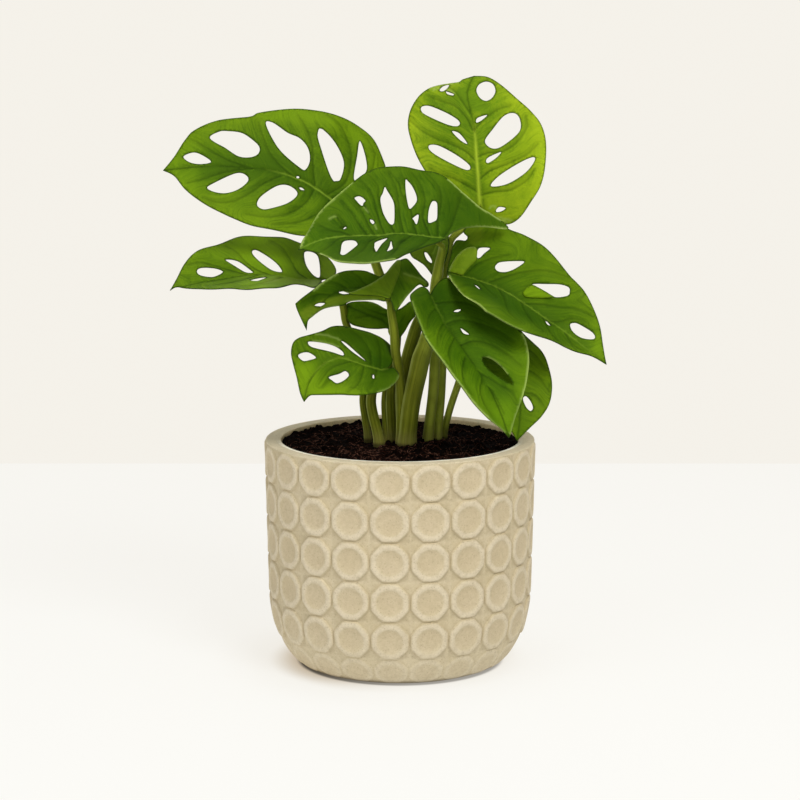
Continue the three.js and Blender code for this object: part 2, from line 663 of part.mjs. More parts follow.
// A blade: its outline and holes laid on the curved surface, and given a thickness.
function blade(leaf, surface) {
  const place = (marks) => marks.map(surface.locate);
  const edge = (marks) => smooth(place([leaf.base, ...marks, leaf.tip]), BLADE.edgeStep, false);
  const [, ...near] = edge(leaf.front);
  const outline = [...edge(leaf.back), surface.locate(leaf.tip), ...near.reverse()];
  const holes = leaf.holes.map((marks) => smooth(place(marks), BLADE.holeStep, true));
  const rim = [...outline, ...holes.flat()];
  const box = new THREE.Box2().setFromPoints(outline);
  const free = [];
  const rowStep = BLADE.grid * Math.sin(Math.PI / 3);
  for (let u = box.min.x, odd = 0; u < box.max.x; u += rowStep, odd = 1 - odd) {
    for (let v = box.min.y + (odd * BLADE.grid) / 2; v < box.max.y; v += BLADE.grid) {
      const p = new THREE.Vector2(u, v);
      const clear = rim.every((q) => q.distanceTo(p) > BLADE.clearOfRim);
      if (clear && inside(p, outline) && !holes.some((hole) => inside(p, hole))) free.push(p);
    }
  }
  const { points, faces } = triangulate(outline, holes, free);
  const face = (sideways) => points.map(({ x, y }) =>
    surface.point(x, y).addScaledVector(surface.normal(x, y), sideways));
  const count = points.length;
  const all = faces.flatMap(([a, b, c]) => [[a, b, c], [a + count, c + count, b + count]]);
  const directed = new Set(faces.flatMap(([a, b, c]) => [`${a} ${b}`, `${b} ${c}`, `${c} ${a}`]));
  for (const key of directed) {
    const [a, b] = key.split(" ").map(Number);
    if (!directed.has(`${b} ${a}`)) all.push([b, a, a + count], [b, a + count, b + count]);
  }
  return body([...face(BLADE.thickness / 2), ...face(-BLADE.thickness / 2)], all);
}

// A petiole stands in its hole in the soil, follows its marks, and comes in under the blade at a
// slant, where its slanted end lies just clear of the start of the midrib.
function petiole(leaf, surface) {
  const { root, radius, via } = leaf.petiole;
  const under = -(BLADE.thickness / 2 + STALK.seat + STALK.slant * radius[1]);
  const stops = [
    new THREE.Vector3(root[0], root[1], STALK.end),
    new THREE.Vector3(root[0], root[1], (STALK.end + SOIL.top) / 2),
    new THREE.Vector3(root[0], root[1], SOIL.top + 1),
    ...via.map(([x, y, depth]) => sighted([x, y], depth)),
    surface.point(-STALK.approach, 0, under - STALK.approach),
    surface.point(STALK.approach, 0, under),
  ];
  const path = new THREE.CatmullRomCurve3(stops, false, "centripetal");
  const frames = path.computeFrenetFrames(STALK.steps, false);
  const rings = Array.from({ length: STALK.steps + 1 }, (_, i) => {
    const share = i / STALK.steps;
    const centre = path.getPointAt(share);
    const r = THREE.MathUtils.lerp(radius[0], radius[1], share);
    return Array.from({ length: STALK.sides }, (_, k) => {
      const turn = (2 * Math.PI * k) / STALK.sides;
      return centre.clone()
        .addScaledVector(frames.normals[i], r * Math.cos(turn))
        .addScaledVector(frames.binormals[i], r * Math.sin(turn));
    });
  });
  return stackOfRings(rings);
}

// ---------------------------------------------------------------- assembly

const plant = new THREE.Group();
plant.add(named("pot", pot(), CERAMIC));
plant.add(named("soil", soilWithHoles(), EARTH));
for (const [name, leaf] of Object.entries(LEAVES)) {
  const surface = bladeSurface(leaf);
  const group = new THREE.Group();
  group.add(named(`leaf_${name}`, blade(leaf, surface), LEAF));
  group.add(named(`petiole_${name}`, petiole(leaf, surface), STEM));
  plant.add(group);
}

export default plant;
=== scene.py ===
"""Monstera adansonii in a round planter with rows of raised rings.

Shapes are worked out in millimetres and turned into metres when a piece is finished.
"""

import math
import random

import bmesh
import bpy
import numpy as np
from mathutils import Matrix, Vector, noise
from mathutils.geometry import delaunay_2d_cdt


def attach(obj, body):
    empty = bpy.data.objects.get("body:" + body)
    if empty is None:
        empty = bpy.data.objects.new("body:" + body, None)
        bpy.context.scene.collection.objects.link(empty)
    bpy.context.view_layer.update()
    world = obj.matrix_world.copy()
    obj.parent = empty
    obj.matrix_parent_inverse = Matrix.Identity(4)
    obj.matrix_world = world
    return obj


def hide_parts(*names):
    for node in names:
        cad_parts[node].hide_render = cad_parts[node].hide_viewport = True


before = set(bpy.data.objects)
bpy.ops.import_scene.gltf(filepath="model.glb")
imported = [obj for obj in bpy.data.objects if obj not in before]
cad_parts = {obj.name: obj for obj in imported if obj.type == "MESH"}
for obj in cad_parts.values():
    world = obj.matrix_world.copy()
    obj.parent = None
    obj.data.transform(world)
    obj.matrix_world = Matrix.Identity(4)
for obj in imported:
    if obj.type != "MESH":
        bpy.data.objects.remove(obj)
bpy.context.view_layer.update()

METRES = 0.001  # metres in a millimetre
UP = np.array([0.0, 0.0, 1.0])

# ---- the eye and its sheet

# Leaves are drawn in front elevation on a sheet ruled in half millimetres, as the eye at this
# station sees them, and each line is carried back along its line of sight to the leaf's surface.
EYE_DISTANCE = 1250
EYE_HEIGHT = 350
EYE_PITCH = math.radians(9.88)
EYE_REACH = 2547
SHEET_CENTRE = 400
SHEET_WIDTH = 800
EYE = np.array([0.0, -EYE_DISTANCE, EYE_HEIGHT])
PROBE_STEP = 2
PROBE_STEPS = 25
HALVINGS = 14

# ---- pot and soil sizes

POT_HEIGHT = 113
WALL_RADIUS = 66.6
WALL_TAPER = 2.5
CORNER_RISE = 38
CORNER_RUN = 18
# Radius and height of the loops of the rim, of the cavity down to its floor, and of the foot.
POT_RIM = [(67.03, 112.78), (66.8, 112.92), (66.4, 113), (59.9, 113), (59.6, 112.93),
           (59.4, 112.7), (59.3, 112), (58.9, 90)]
POT_INSIDE = [(58, 44), (55, 25), (47, 13), (38, 9)]
POT_FOOT = [(48.6, 0.45), (47.6, 0.1), (47, 0), (43, 0), (42, 0.9)]

RING_COLUMNS = 21
RING_ROWS = 5
RING_PITCH = 19.7
RING_LAST_PITCH = 17.8
RING_FIRST_CENTRE = 103.9
RING_TURN = math.radians(-94.3)
RING_SEGMENTS = 32
RING_ROUND = 0.35  # 0 for an eight-sided ring, 1 for a round one
RING_TOP = 0.35  # where the first row's cells start, down the wall from the rim
RING_FADE = 0.25  # share of the relief that the last row keeps
RING_FLAT = 0.55  # radius from which the eight sides show, and over what run they are full
RING_FLAT_RUN = 0.35
CREST_RELIEF = 0.75  # relief from which a crest is paler, partly its own tone and partly painted light, and over what rise it is full
CREST_RISE = 0.35
DISH_RADIUS = 0.66  # radius within which a dish is darker, partly its own tone and partly painted shade, and over what run it is full
DISH_RUN = 0.12
TOP_BAND = 0.5  # relief of the plain band above the first row, where it starts and over what run
TOP_BAND_START = 0.8
TOP_BAND_RUN = 0.2
# Radius and relief of the loops of a ring, as shares of half a cell and in millimetres.
RING_LOOPS = [(0.985, 0.03), (0.97, 0.33), (0.945, 0.72), (0.905, 0.98), (0.85, 1.1), (0.785, 1.13),
              (0.725, 1.07), (0.675, 0.94), (0.63, 0.75), (0.58, 0.55), (0.52, 0.37), (0.43, 0.2),
              (0.3, 0.1), (0.15, 0.05)]

SOIL_TOP = 110.2
SOIL_MOUND = 0.9  # how much higher the soil stands round the petioles
SOIL_GAP = 0.4

# ---- leaves

BLADE_CREASE = 3
BLADE_WAVES = 9
BLADE_WAVE_SPAN = 30
BLADE_THICKNESS = 0.42
BLADE_GRID = 1.05
BLADE_EDGE = 0.8
PETIOLE_END = 78.4
PETIOLE_APPROACH = 2.5
PETIOLE_SEAT = 1.1
PETIOLE_SLANT = 1.05

# Places on the sheet are across,down pairs. back and front are the far and near edges from base to
# tip, rib the midrib between them. depth gives Y at base and tip, lean turns the back half up, arch
# lifts the middle of the midrib, fold raises both halves. slits are the small holes that the solids
# leave out. The lines, and the fainter ones, are painted highlights along rims and folds. Tone areas
# lighten or darken by an amount, partly the leaf's own tone and partly painted light and shade, and
# olive areas turn it olive by an amount. flaps are folded lobes, by rim and hinge. A petiole's via
# has the depth as a third number.
LEAVES = {}
LEAVES["upper_left"] = dict(
    base=(345, 206), tip=(163, 170.5), depth=(20, 2), turn=1,
    lean=63, arch=5, fold=0.06, wave=1, tone="plain", rib_pale=(0.4, 0.28, 0.75),
    rib="333,200 309,184 293.5,177 278,172 262,169 239,167 214,166 188,168",
    back="348.5,199 355,193.5 366,190 378,184 386,172 381,154 372,138 357,125 338,116 321,111 298,109 "
         "276,110 258,113 249,117 219,120 195,130 185,140 174,157",
    front="350,216 343,229 328,236 304,236 278,231 254,226 234,219 219,211.5 201,202 185,189 174,176",
    holes=["183.5,156.5 194,152.5 204,156 211,162 200,164 189,162",
        "210,138 219,131.5 228,131 244,134 258,144.5 259,152.5 252,157 239,156.5 225,148",
        "266,124 272,122 287,132.5 300,138 308,148 310,160 306,169 300,168 278,148",
        "318,132 322,129 336.5,144.5 344,162 341,178 336.5,181 331,177 319,143",
        "360,141 366,159 366,172 354,180 357,156",
        "207,188 214,183 236,173 246,175 248,181 239,189 226.5,193 214,192",
        "257,203.5 262,195.5 278,185.5 290,186 297.5,194 287,203.5 268,209 260,208"],
    slits=["299,188 301.5,187.5 304.5,190 301,190", "296.5,176.5 298.5,176 299.5,177.5 297.5,178"],
    veins=["315,185 313,168 312,146 307,129 298,115", "296,178 282,167 270,153 263,136 259,123",
        "328,194 345,182 351,159 348,141 339,124 327,115", "333,198 356,187 371,172 374,153 367,139",
        "252,168 226,159 206,147 191,139", "221,168 203,167 183,165",
        "281,176 266,182 250,193 234,201 217,202 203,198", "252,168 226,172 206,178 188,183",
        "315,187 307,201 292,212 270,217 246,214", "330,199 318,213 298,222 273,225"],
    tints=[(0.5, "258,112 300,110 345,120 375,145 382,180 370,170 345,135 300,122 262,122"),
        (0.35, "163,170 185,140 200,150 195,190 180,185"),
        (-0.6, "340,205 300,190 262,178 205,170 250,152 300,162 345,182")],
    petiole=dict(
        root=(-3.65, 5), radius=(2.4, 1.6), flat=1.3,
        via="391,394,9 394,360,14 396,330,18 391,302,20 380,276,20.5 368,245,21",
    ),
)
LEAVES["upper_right"] = dict(
    base=(480.5, 208.5), tip=(474, 76), depth=(22, 40), turn=-1,
    arch=5, fold=0.12, wave=1, tone="fresh", rib_pale=(0.85, 0.45, 0.85),
    rib="479,190 478,175 476.5,155 474,126 470,108 467,92",
    back="475,215 456,209 438,192 424.5,170 416,154 410.5,139 408,124.5 410.5,110 418,97 427,89.5 436,86 "
         "449,83.5 459,82 462.5,79.5",
    front="487.5,217 499,223.5 510,224 520.5,217 531,202 541,185 545.5,163 546,142 541,124.5 531,111 "
          "516,98 500,84 487,77",
    holes=["486,81.5 493,84 495.5,91 492,98 486,101 480,98 476.5,91 479,84.5",
        "421.5,107 430,106 447,113 459,121 458,126 448,125 430,117 422,112",
        "430,145 440,146 458,156 470,166 467,170 452,164 436,155 429,149",
        "485,141 491,148 501.5,146.5 519,132 520,119 514,113 504,116 493,129",
        "491,186 507,184 525,173 534.5,161 533,157 519,163 499,176",
        "452,131.5 459,133 466,141 467,144 460,140", "486,161 489,157 501,152 496,158 488,163"],
    slits=["476.5,122.5 477.5,118 487,115 482,120", "446,91.5 450,92.5 454,94 452.5,95.5 447,94",
        "439.5,90.5 443,86.5 449,85 446.5,89 442.5,91.5", "496,210.5 499,207 505.5,208 502,211 497,212"],
    veins=["478,192 468,186 455,179 441,174 429,168", "476,161 465,151 451,144 437,139 422,131 410,120",
        "473,130 465,116 455,106 441,101 427,96", "470,113 462,101 455,92 448,87",
        "480,179 490,171 507,164 526,155 538,144", "477,157 488,153 504,151 518,141 527,127 526,116",
        "474,130 485,119 497,110 510,106", "481,195 493,192 510,190 526,181 535,169"],
    faint=["430,88.5 440,85.5 449,84 458,82.5", "433.5,90 438.5,88.5", "447,90 450.5,91 454,93",
        "490,208 493,205.5 496.5,208.5", "499,217.5 505,219 511.5,220.5", "500,220.5 507,222"],
    tints=[(0.5, "536,108 552,140 548,175 532,208 536,180 540,150"),
        (0.2, "488,212 485,165 492,150 505,110 505,92 530,106 548,140 545,180 530,208 515,224 500,224"),
        (-0.35, "476,190 470,165 440,150 420,130 440,100 455,90 470,100 476,150")],
    petiole=dict(
        root=(18.7, 7.5), radius=(1.8, 1.8, 1.5, 1.15), flat=1.3,
        via="441,388,9 443,330,15 443,290,20 445,268,21 448.5,250,21 452,238.5,22",
    ),
)
LEAVES["front"] = dict(
    base=(446, 238), tip=(298, 250), depth=(-19, -44), turn=1,
    lean=38, arch=3, fold=0.34, tone="deep", rib_pale=(0.3, 0.95, 0.75),
    rib="424.5,235.5 398,233 378,235 340,236.5 318,241",
    back="454,232 467,228 488,227 508,229 500,219.5 490.5,213 479,207 462,191 447,179 434,172 417.5,169.5 "
         "398,166.5 381,167 367,172.5 353,182 336,196 319,213 307,233 302.5,240",
    front="436,243.5 424.5,247 406,254 395,260 378,262 359,264 340,262 323.5,255 305,250",
    holes=["354.5,198 358.5,196.5 362.5,198 365.5,201 363.5,203 362.5,206 360,205 356.5,201",
        "385,186.5 387.5,190.5 393,200.5 394.5,208.5 394,223 390.5,224 387,220 383,211.5 380.5,199 383,192.5",
        "405.5,180 408,181.5 412.5,186.5 416.5,195 416.5,201.5 410,208.5 407.5,202.5 405.5,190.5",
        "412.5,218 418.5,214 418.5,218.5 416.5,224 414,220",
        "431.5,202.5 434,201 437,203 437.5,210.5 437,218.5 434,221.5 429,223 428,218.5 429,209.5",
        "345.5,240.5 354.5,240.5 357.5,244.5 354.5,248 345,255 340.5,254 341,249.5 342,243.5",
        "374.5,251.5 374.5,246 376,241.5 387.5,238 381.5,244.5 376.5,251.5",
        "391,241 392,245 392.5,249 387,251.5 389.5,246"],
    slits=["370,219.5 372.5,219.5 374.5,222 373,224 371,222.5", "341.5,228 343,226.5 346.5,227 344.5,229"],
    veins=["444,236 451,226 457,209 462,193", "430,235 423,217 425,200 421,185 412,173",
        "404,233 400,217 398,200 395,185 388,172", "385,234 380,222 376,207 371,192 361,181",
        "368,235 359,224 350,210 342,200", "352,236 342,232 330,230 318,224",
        "438,235 438,218 441,200 438,186 427,173", "417,234 412,218 411,211 401,193 399,184 389,170",
        "395,234 392,227 379,204 378,186 368,175", "376,235 369,226 362,212 350,197 344,191",
        "432,236 421,245 408,252 399,256", "412,235 401,243 395,252 386,258",
        "384,235 370,241 363,250 352,258", "356,236 340,238 330,246 321,252", "337,217 340,221 344,227",
        "364,205 368,212 372,217"],
    lines=["446,241 449,237 455,233 467,229 488,227.5 507,229.5",
        "301,246 306,233.5 318.5,213.5 335.5,196.5 352,182.5",
        "448,180 462,191.5 479,207.5 490,213.5 500,220", "320,254 340,261.5 359,263.5 378,261.5 395,259.5"],
    faint=["329,219 332,217 335.5,216", "364,207.5 367.5,211.5", "374.5,225 376.5,229"],
    tints=[(-0.35, "446,236 440,190 462,188 490,212 510,230 470,229"),
        (0.2, "350,225 370,185 410,178 430,190 425,225"),
        (-0.4, "296,250 310,215 355,175 420,160 480,195 515,232 450,245 390,268 330,264"),
        (-0.3, "325,243 345,239 440,238 430,248 395,262 350,267 318,257"),
        (0.5, "300,250 306,232 325,240 330,250 320,257")],
    petiole=dict(
        root=(14, 4), radius=(2.35, 2.3, 2.3, 2.4, 0.95), flat=1.15, join=(2.5, 7), seat=0.75,
        via="433.5,388,3 435,350,5 435,293,9 438.5,268,4 442,249,-7",
    ),
)
LEAVES["left"] = dict(
    base=(322.5, 279), tip=(170, 290.5), depth=(8, -14), turn=1,
    lean=22, arch=5, fold=0.27, tone="plain", rib_pale=(0.4, 0.25, 0.6),
    rib="301,279.5 286,276.5 259.5,274 225,279 195,284",
    back="330,279 336,273 334,265 326,256 313,247 298,242 273,237 253,236 236,238 216,245 196.5,252 "
         "185,263 177,278",
    front="318,286 312.5,288 303,285 293,284 276,288 253,289 226,289 196.5,289 178,287",
    holes=["197,271 201.5,268 216,268 223,272 213,277 200,275.5", "225.5,260 239,262 253,272 244,271.5",
        "252,251.5 258,250 276,263 282,272 271,270 256,258", "305,251.5 317.5,256 320,276 314,276 306,265"],
    slits=["250,280 258,278 267,277.5 258,281"],
    veins=["307,278 298,272 290,259 282,248 272,241", "270,274 258,270 246,262 236,252 226,246",
        "246,274 230,270 217,266 200,262 189,264", "226,278 209,281 194,282",
        "282,277 267,282 252,285 234,287", "258,275 246,279 230,283 214,285"],
    tints=[(0.2, "165,290 190,245 250,230 315,240 340,270 330,284 250,292"),
        (0.5, "240,240 300,240 336,262 332,282 300,286 250,288"),
        (-0.15, "308,280 292,276 287,250 298,244 306,262"),
        (0.3, "250,262 200,262 185,262 215,246 250,240 290,244"),
        (0.4, "320,256 326,256 336,268 334,277 322,278")],
    olive=[(0.55, "330,282 300,278 270,279 262,285 290,283 312,288"),
        (0.45, "318,255 322,252 336,266 336,276 321,278")],
    petiole=dict(
        root=(-16.2, 8.6), radius=(1.35, 1.45), flat=1.3,
        via="363,396,8.5 368.5,378,8.5 369.5,363,8 362.5,347,8 351.5,335,8.5 345.5,322,9.5 341.5,303,10.5",
    ),
)
LEAVES["folded"] = dict(
    base=(388, 294), tip=(306.6, 330.5), depth=(-12, -26), turn=1,
    lean=52, arch=5, fold=0.15, tone="deep", rib_pale=(0.3, 0.05, 0.3),
    rib="366,288 345,289 325,300",
    back="391.5,302 395.5,311 401.5,304 407,296.5 412.5,290.5 416.5,286.5 420.5,284.5 424.5,287 428,286.5 "
         "428,282.5 421.5,276 416,269 410.5,262.5 406.5,259 401.5,259.5 396,262.5 389,270 380,276.5 "
         "373,274 365,271 353,270 341,272 327,279 311,291 298,301.5 296,307",
    front="385,301 378,300 365,300 351,301 344,305 338,306 323,309 312,317 308,321",
    holes=["314.5,305.5 319,303 325,303 321,306", "338.5,292 343,291 349,292 351,293 343.5,294"],
    slits=["367.5,290.5 371,289.5 374.5,289 371.5,291"],
    veins=["374,289 364,283 359,277 351,272", "350,291 341,285 333,282 325,283",
        "331,295 319,294 310,297 301,303", "380,297 351,297 330,303 313,312 306,323",
        "371,294 344,294 322,300 307,311"],
    lines=["314,290 323,282.5 337,274"],
    faint=["311,318 323,309.5 338,306", "347,301.5 361,300 377,300",
        "404,273.5 411.5,276.5 420,279 426.5,283", "400,305.5 406,297.5 411.5,291.5"],
    tints=[(-0.7, "300,303 320,285 350,272 380,277 370,286 345,292 315,305"),
        (-0.8, "403,266 410,262 423,277 411,275 403,272"),
        (-0.6, "392,296 399,280 404,280 400,292 397,309 393,306")],
    olive=[(0.8, "388,300 360,300 340,304 322,309 308,320 300,314 312,304 335,297 360,293 386,291"),
        (0.35, "402,272 411,275 419,278 428,282 427,286 420,284 412,284 404,281")],
    flaps=[
        ("342,290.5 352,291.5 364,286.5 376,280.5 384.5,274.5 392.5,264.5 397,260",
         "400.5,260 400.5,268 398,277 394.5,286 391.5,294 388.5,298.5 380,296 366,295 352,294",
         dict(pale=0.5, olive=0.6, tint=-0.1)),
    ],
    petiole=dict(
        root=(0.4, -1.5), radius=(2.2, 2.3, 2.25, 1.7), flat=1.1, keel=0.4, join=(-1.5, 2.5),
        via="401,400,-4 399.5,378,-6 395.5,352,-8 394,331,-8.5 391,311,-9",
    ),
)
LEAVES["shaded"] = dict(
    base=(399, 339), tip=(345, 305), depth=(5, 13), turn=1,
    lean=62, arch=3, fold=0.1, tone="deep", rib_pale=(0.2, 0.05, 0.2),
    rib="385,322 366,314",
    back="404.5,332 410,322.5 415.5,315.5 415.5,308 412.5,302.5 409.5,301.5 404.5,305.5 399,309 392,310.5 "
         "385,308.5 377,304 368,301.5 352,302",
    front="395,337 389,329 377,329 365,328 351,324 346,315",
    veins=["386,315 373,311 361,306", "383,314 369,316 356,318"],
    faint=["370,302 377,304 384.5,308"],
    tints=[(0.1, "340,300 420,295 420,345 345,332")],
    petiole=dict(
        root=(-7.2, 0.5), radius=(1.2, 0.9), flat=1.1, join=(2, 5), drop=1.5,
        via="383.5,400,1 386.5,380,2 392,360,4",
    ),
)
LEAVES["lower_left"] = dict(
    base=(388, 368), tip=(304, 402), depth=(-17, -38), turn=1,
    lean=54, arch=7, fold=0.05, tone="plain", rib_pale=(0.28, 0.6, 0.5),
    rib="384.5,370 373,367.5 361.5,364 348.5,359.5 339,357.5 321,366 309,383",
    back="392,363 393,353 390,345 383,339 373,334 361.5,330 350,327 340,326 331,327 322,331 308,335 "
         "299,338 293,343 291,353 293,364 296.5,377 300,393",
    front="394,368 399,375 396,382 388,389 378,393 361.5,395 339,395 316,395 309.5,396",
    holes=["308,342 314,341.5 328,344 337,347.5 343,352 343,355.5 331,352 312,347",
        "298,356 302,353 309,352.5 316,357.5 310,360 303,361",
        "329,377 339,374 345.5,371 349,375 344,380.5 337,383.5 332,380.5"],
    slits=["372,375.5 374,374.5 374.5,377.5 373,378.5",
        "341,341 346,343 356,351.5 366.5,361.5 354.5,353.5 345,345.5"],
    veins=["380,368 380,352 376,338 368,328", "371,364 369,350 360,337 348,328",
        "364,364 362,375 358,384 348,392", "344,357 328,361 315,373 305,389", "377,369 374,380 370,389",
        "354,360 345,363 330,369 319,384"],
    faint=["316,334 330,336.5 340,340.5", "313,341 328,343.5 338,347",
        "399,375 396,382 388.5,388.5 378,392.5"],
    tints=[(-0.9, "384,370 366,362 350,348 335,338 318,333 340,325 375,333 394,350 394,366"),
        (-0.65, "362,392 372,362 396,366 402,380 385,394"),
        (0.8, "303,398 294,370 310,362 330,385 360,390 372,394")],
    petiole=dict(
        root=(-10.4, -3), radius=(2.25, 2.2, 2, 1.2), flat=1.25, keel=0.2,
        via="371,400,-4.5 377,382,-8",
    ),
)
LEAVES["front_right"] = dict(
    base=(430.5, 294), tip=(509, 438), depth=(-5, -40), turn=1,
    lean=-20, arch=6, fold=0.3, tone="deep", rib_pale=(0.25, 0.12, 0.3),
    rib="444,321 463,349 479.5,373 496,402",
    back="427,289 421,287 413,292 410,298 416,315 424,336 435,352 446,367 460,385 472,402 487,417.5 "
         "501,429",
    front="437,284 446,278 456,285 468,294 482,303 496,313 511,323 522,333 527,342.5 529,358 527,381 "
          "522,399 515,419 512,431",
    holes=["482,358.5 489,358 499,365 507,374 513,384 502.5,379 489,370"],
    slits=["453.5,311.5 457,309.5 461,309.5 458,312", "460.5,328.5 463,329.5 469,334.5 463.5,333.5"],
    veins=["434,303 449,302 465,303 482,310 495,319", "445,324 461,320 480,324 498,331 514,341",
        "458,346 473,341 490,344 506,353 521,366", "473,369 484,375 499,384 511,391 517,401",
        "484,384 493,392 499,403 504,413", "435,309 429,316 426,328", "443,324 438,334 437,346",
        "454,339 449,350 450,362 454,373", "465,358 462,370 465,384 472,395",
        "482,380 480,391 484,404 492,416"],
    lines=["425,336.5 436,352 447,367 461,385 473,402 488,417.5",
        "522,333.5 526.5,343 528.5,358 526.5,381 521.5,399"],
    faint=["412,302 417,315 424,334", "488,417.5 504,432", "521.5,399 514.5,419 510,434",
        "483,359 489,358 499,365 507,373.5"],
    tints=[(-0.85, "432,296 445,276 470,292 500,314 520,331 508,350 488,345 460,330"),
        (-0.5, "409,298 414,288 432,282 440,300 460,335 440,330 420,315"),
        (0.35, "426,335 440,348 470,378 500,400 510,425 480,410 450,372"),
        (0.5, "492,412 505,400 516,402 509,438"), (0.12, "515,345 532,350 530,385 518,400 512,370")],
    petiole=dict(
        root=(3.5, -3.6), radius=(2.95, 2.95, 3.1, 1.3), flat=1.5, keel=0.6, join=(3, 6), drop=5,
        via="410.5,408,-6 414,389,-6 417.5,374,-6 421,358,-6 426,343,-5.5 431.5,316,-4",
    ),
)
LEAVES["right"] = dict(
    base=(447, 273), tip=(606.5, 364.6), depth=(3, -22), turn=-1,
    lean=39, arch=6, fold=0.45, tone="plain", rib_pale=(0.25, 0.8, 0.4),
    rib="472,278 496,286.5 518,299 541,315 561,329 579,343",
    back="448,266 450.5,256 452.5,247 456,241 460.5,240.5 465.5,241 467.5,237.5 463.5,233 466,228 480,222 "
         "496,222 510,230 525,235 541,244.5 556,258 571,277 585,292 594,309 600,327 603,345.5",
    front="453.5,284 463,295 478,304 486,312 502.5,321 524,332 548,339 571,350 591,356",
    holes=["479,248 490,248 484,253.5 480,257.5 477,257",
        "495,267.5 497,264 502.5,262 524,261 516,268 506,272 498,271.5",
        "532.5,284.5 545,284 559,284 568.5,287.5 569.5,292.5 567.5,296 555.5,297 547.5,292.5 539,288",
        "570,325 573,323 579,324 593,333 594,339 582,338 573,332"],
    slits=["474.5,284.5 477,285.5 481,289.5 477.5,288", "545.5,321 547.5,321.5 550.5,325.5 547.5,324.5"],
    veins=["465,275 477,264 492,258 509,255", "489,282 504,277 521,272 539,270 555,272 570,278",
        "523,303 542,304 561,307 580,309 592,315", "550,321 561,321 572,318 586,321",
        "477,278 483,285 495,297", "498,287 504,299 509,312 520,322", "521,302 526,313 534,324 543,331",
        "542,316 548,329 555,338 564,346", "565,333 572,344 583,351"],
    lines=["449,276 454,284.5 463,295 478,303.5 486,311.5"],
    faint=["486,311.5 502.5,320.5 524,331.5"],
    tints=[(-0.1, "480,225 510,232 545,250 575,285 590,315 565,285 530,262 490,240"),
        (-0.7, "449,270 452,250 458,240 468,240 478,246 470,248 460,252 453,262"),
        (-0.15, "445,225 530,225 570,290 590,350 500,325 445,280"),
        (-0.6, "450,272 470,262 500,272 530,300 560,325 520,318 480,296"),
        (-0.3, "450,274 490,286 540,318 575,350 520,332 470,304"),
        (0.5, "590,345 600,335 608,368 594,358")],
    olive=[(0.5, "467,238 470,228 482,224 484,236 476,246 469,243")],
    flaps=[
        ("448.5,271 451,265.5 455.5,257.5 461,252 466,248.5 471,247 475,247",
         "477.5,249.5 477,256.5 475.5,261 468.5,268 463.5,274 461,274.5 455.5,273 451,272",
         dict(pale=0.6, olive=0.65, tint=0.1)),
        ("525,288.5 532,285 539,288 547.5,292.5 555,297",
         "542,298 526,297 523,292.5",
         dict(pale=0, olive=0, tint=0.7)),
    ],
    petiole=dict(
        root=(1.9, 3.5), radius=(2.7, 2.6, 2.4, 1.2), flat=1.3, join=(2, 6),
        via="401.5,394,3.5 404,375,4 408,356,5 413,338,8 419,321,12 431,302,16 442,286,15",
    ),
)
LEAVES["behind_right"] = dict(
    base=(500, 322), tip=(517, 441), depth=(10, -26), turn=-1,
    arch=6, fold=0.1, tone="plain",
    rib="512,352 519,385 520,415",
    back="510,320 524,334 533,342.5 542,352 548,364 552,384 550,402 542,416 530,428",
    front="489,328 478,345 478,370 490,397 505,420",
    holes=["523,399 526,396 531,402 533,408 530.5,411 526,407"],
    veins=["514,345 532,352 545,368", "518,368 536,374 549,392", "520,392 535,395 546,408"],
    tints=[(0.2, "500,320 560,340 560,420 500,445")],
    petiole=dict(
        root=(22, 13), radius=(1.1, 1.3), flat=1.5,
        via="449,412,11 457.5,386,9 464,368,8.5 480,342,8",
    ),
)
LEAVES["small_back"] = dict(
    base=(440, 240), tip=(432, 275), depth=(22, 17), turn=1,
    arch=2, fold=0.1, tone="deep",
    rib="432,256",
    back="432,232 417,236 409,247 411.5,256.5 418,261 425,266",
    front="447,234 449,246 446,260 439,271",
    holes=["424,252.5 427,253 431,259 432,263 427,260"],
    veins=["434,250 425,250 416,256"],
    tints=[(-0.7, "405,230 452,230 452,280 410,280")],
    olive=[(0.5, "405,230 452,230 452,280 410,280")],
    petiole=dict(
        root=(15.8, 12), radius=(1.2, 1.1), flat=1.2,
        via="433.5,388,14 436,345,19 439,292,25",
    ),
)


# ---- shaders

LEAF_SHEEN = (0.8, 1, 0.25, 1)


class Wire:
    """A shader number or colour. Arithmetic on it adds Math nodes."""

    def __init__(self, paint, socket):
        self.paint = paint
        self.socket = socket

    def maths(self, operation, *values):
        return self.paint.node("Math", dict(enumerate(values)), operation=operation)

    def __add__(self, other):
        return self.maths("ADD", self, other)

    def __sub__(self, other):
        return self.maths("SUBTRACT", self, other)

    def __rsub__(self, other):
        return self.maths("SUBTRACT", other, self)

    def __mul__(self, other):
        return self.maths("MULTIPLY", self, other)

    def __pow__(self, other):
        return self.maths("POWER", self, other)

    __radd__ = __add__
    __rmul__ = __mul__

    def clamped(self):
        return self.maths("MAXIMUM", self.maths("MINIMUM", self, 1), 0)

    def between(self, low, high):
        """0 below low, 1 above high, smooth between."""
        return self.paint.node("MapRange", {0: self, 1: low, 2: high}, interpolation_type="SMOOTHSTEP")


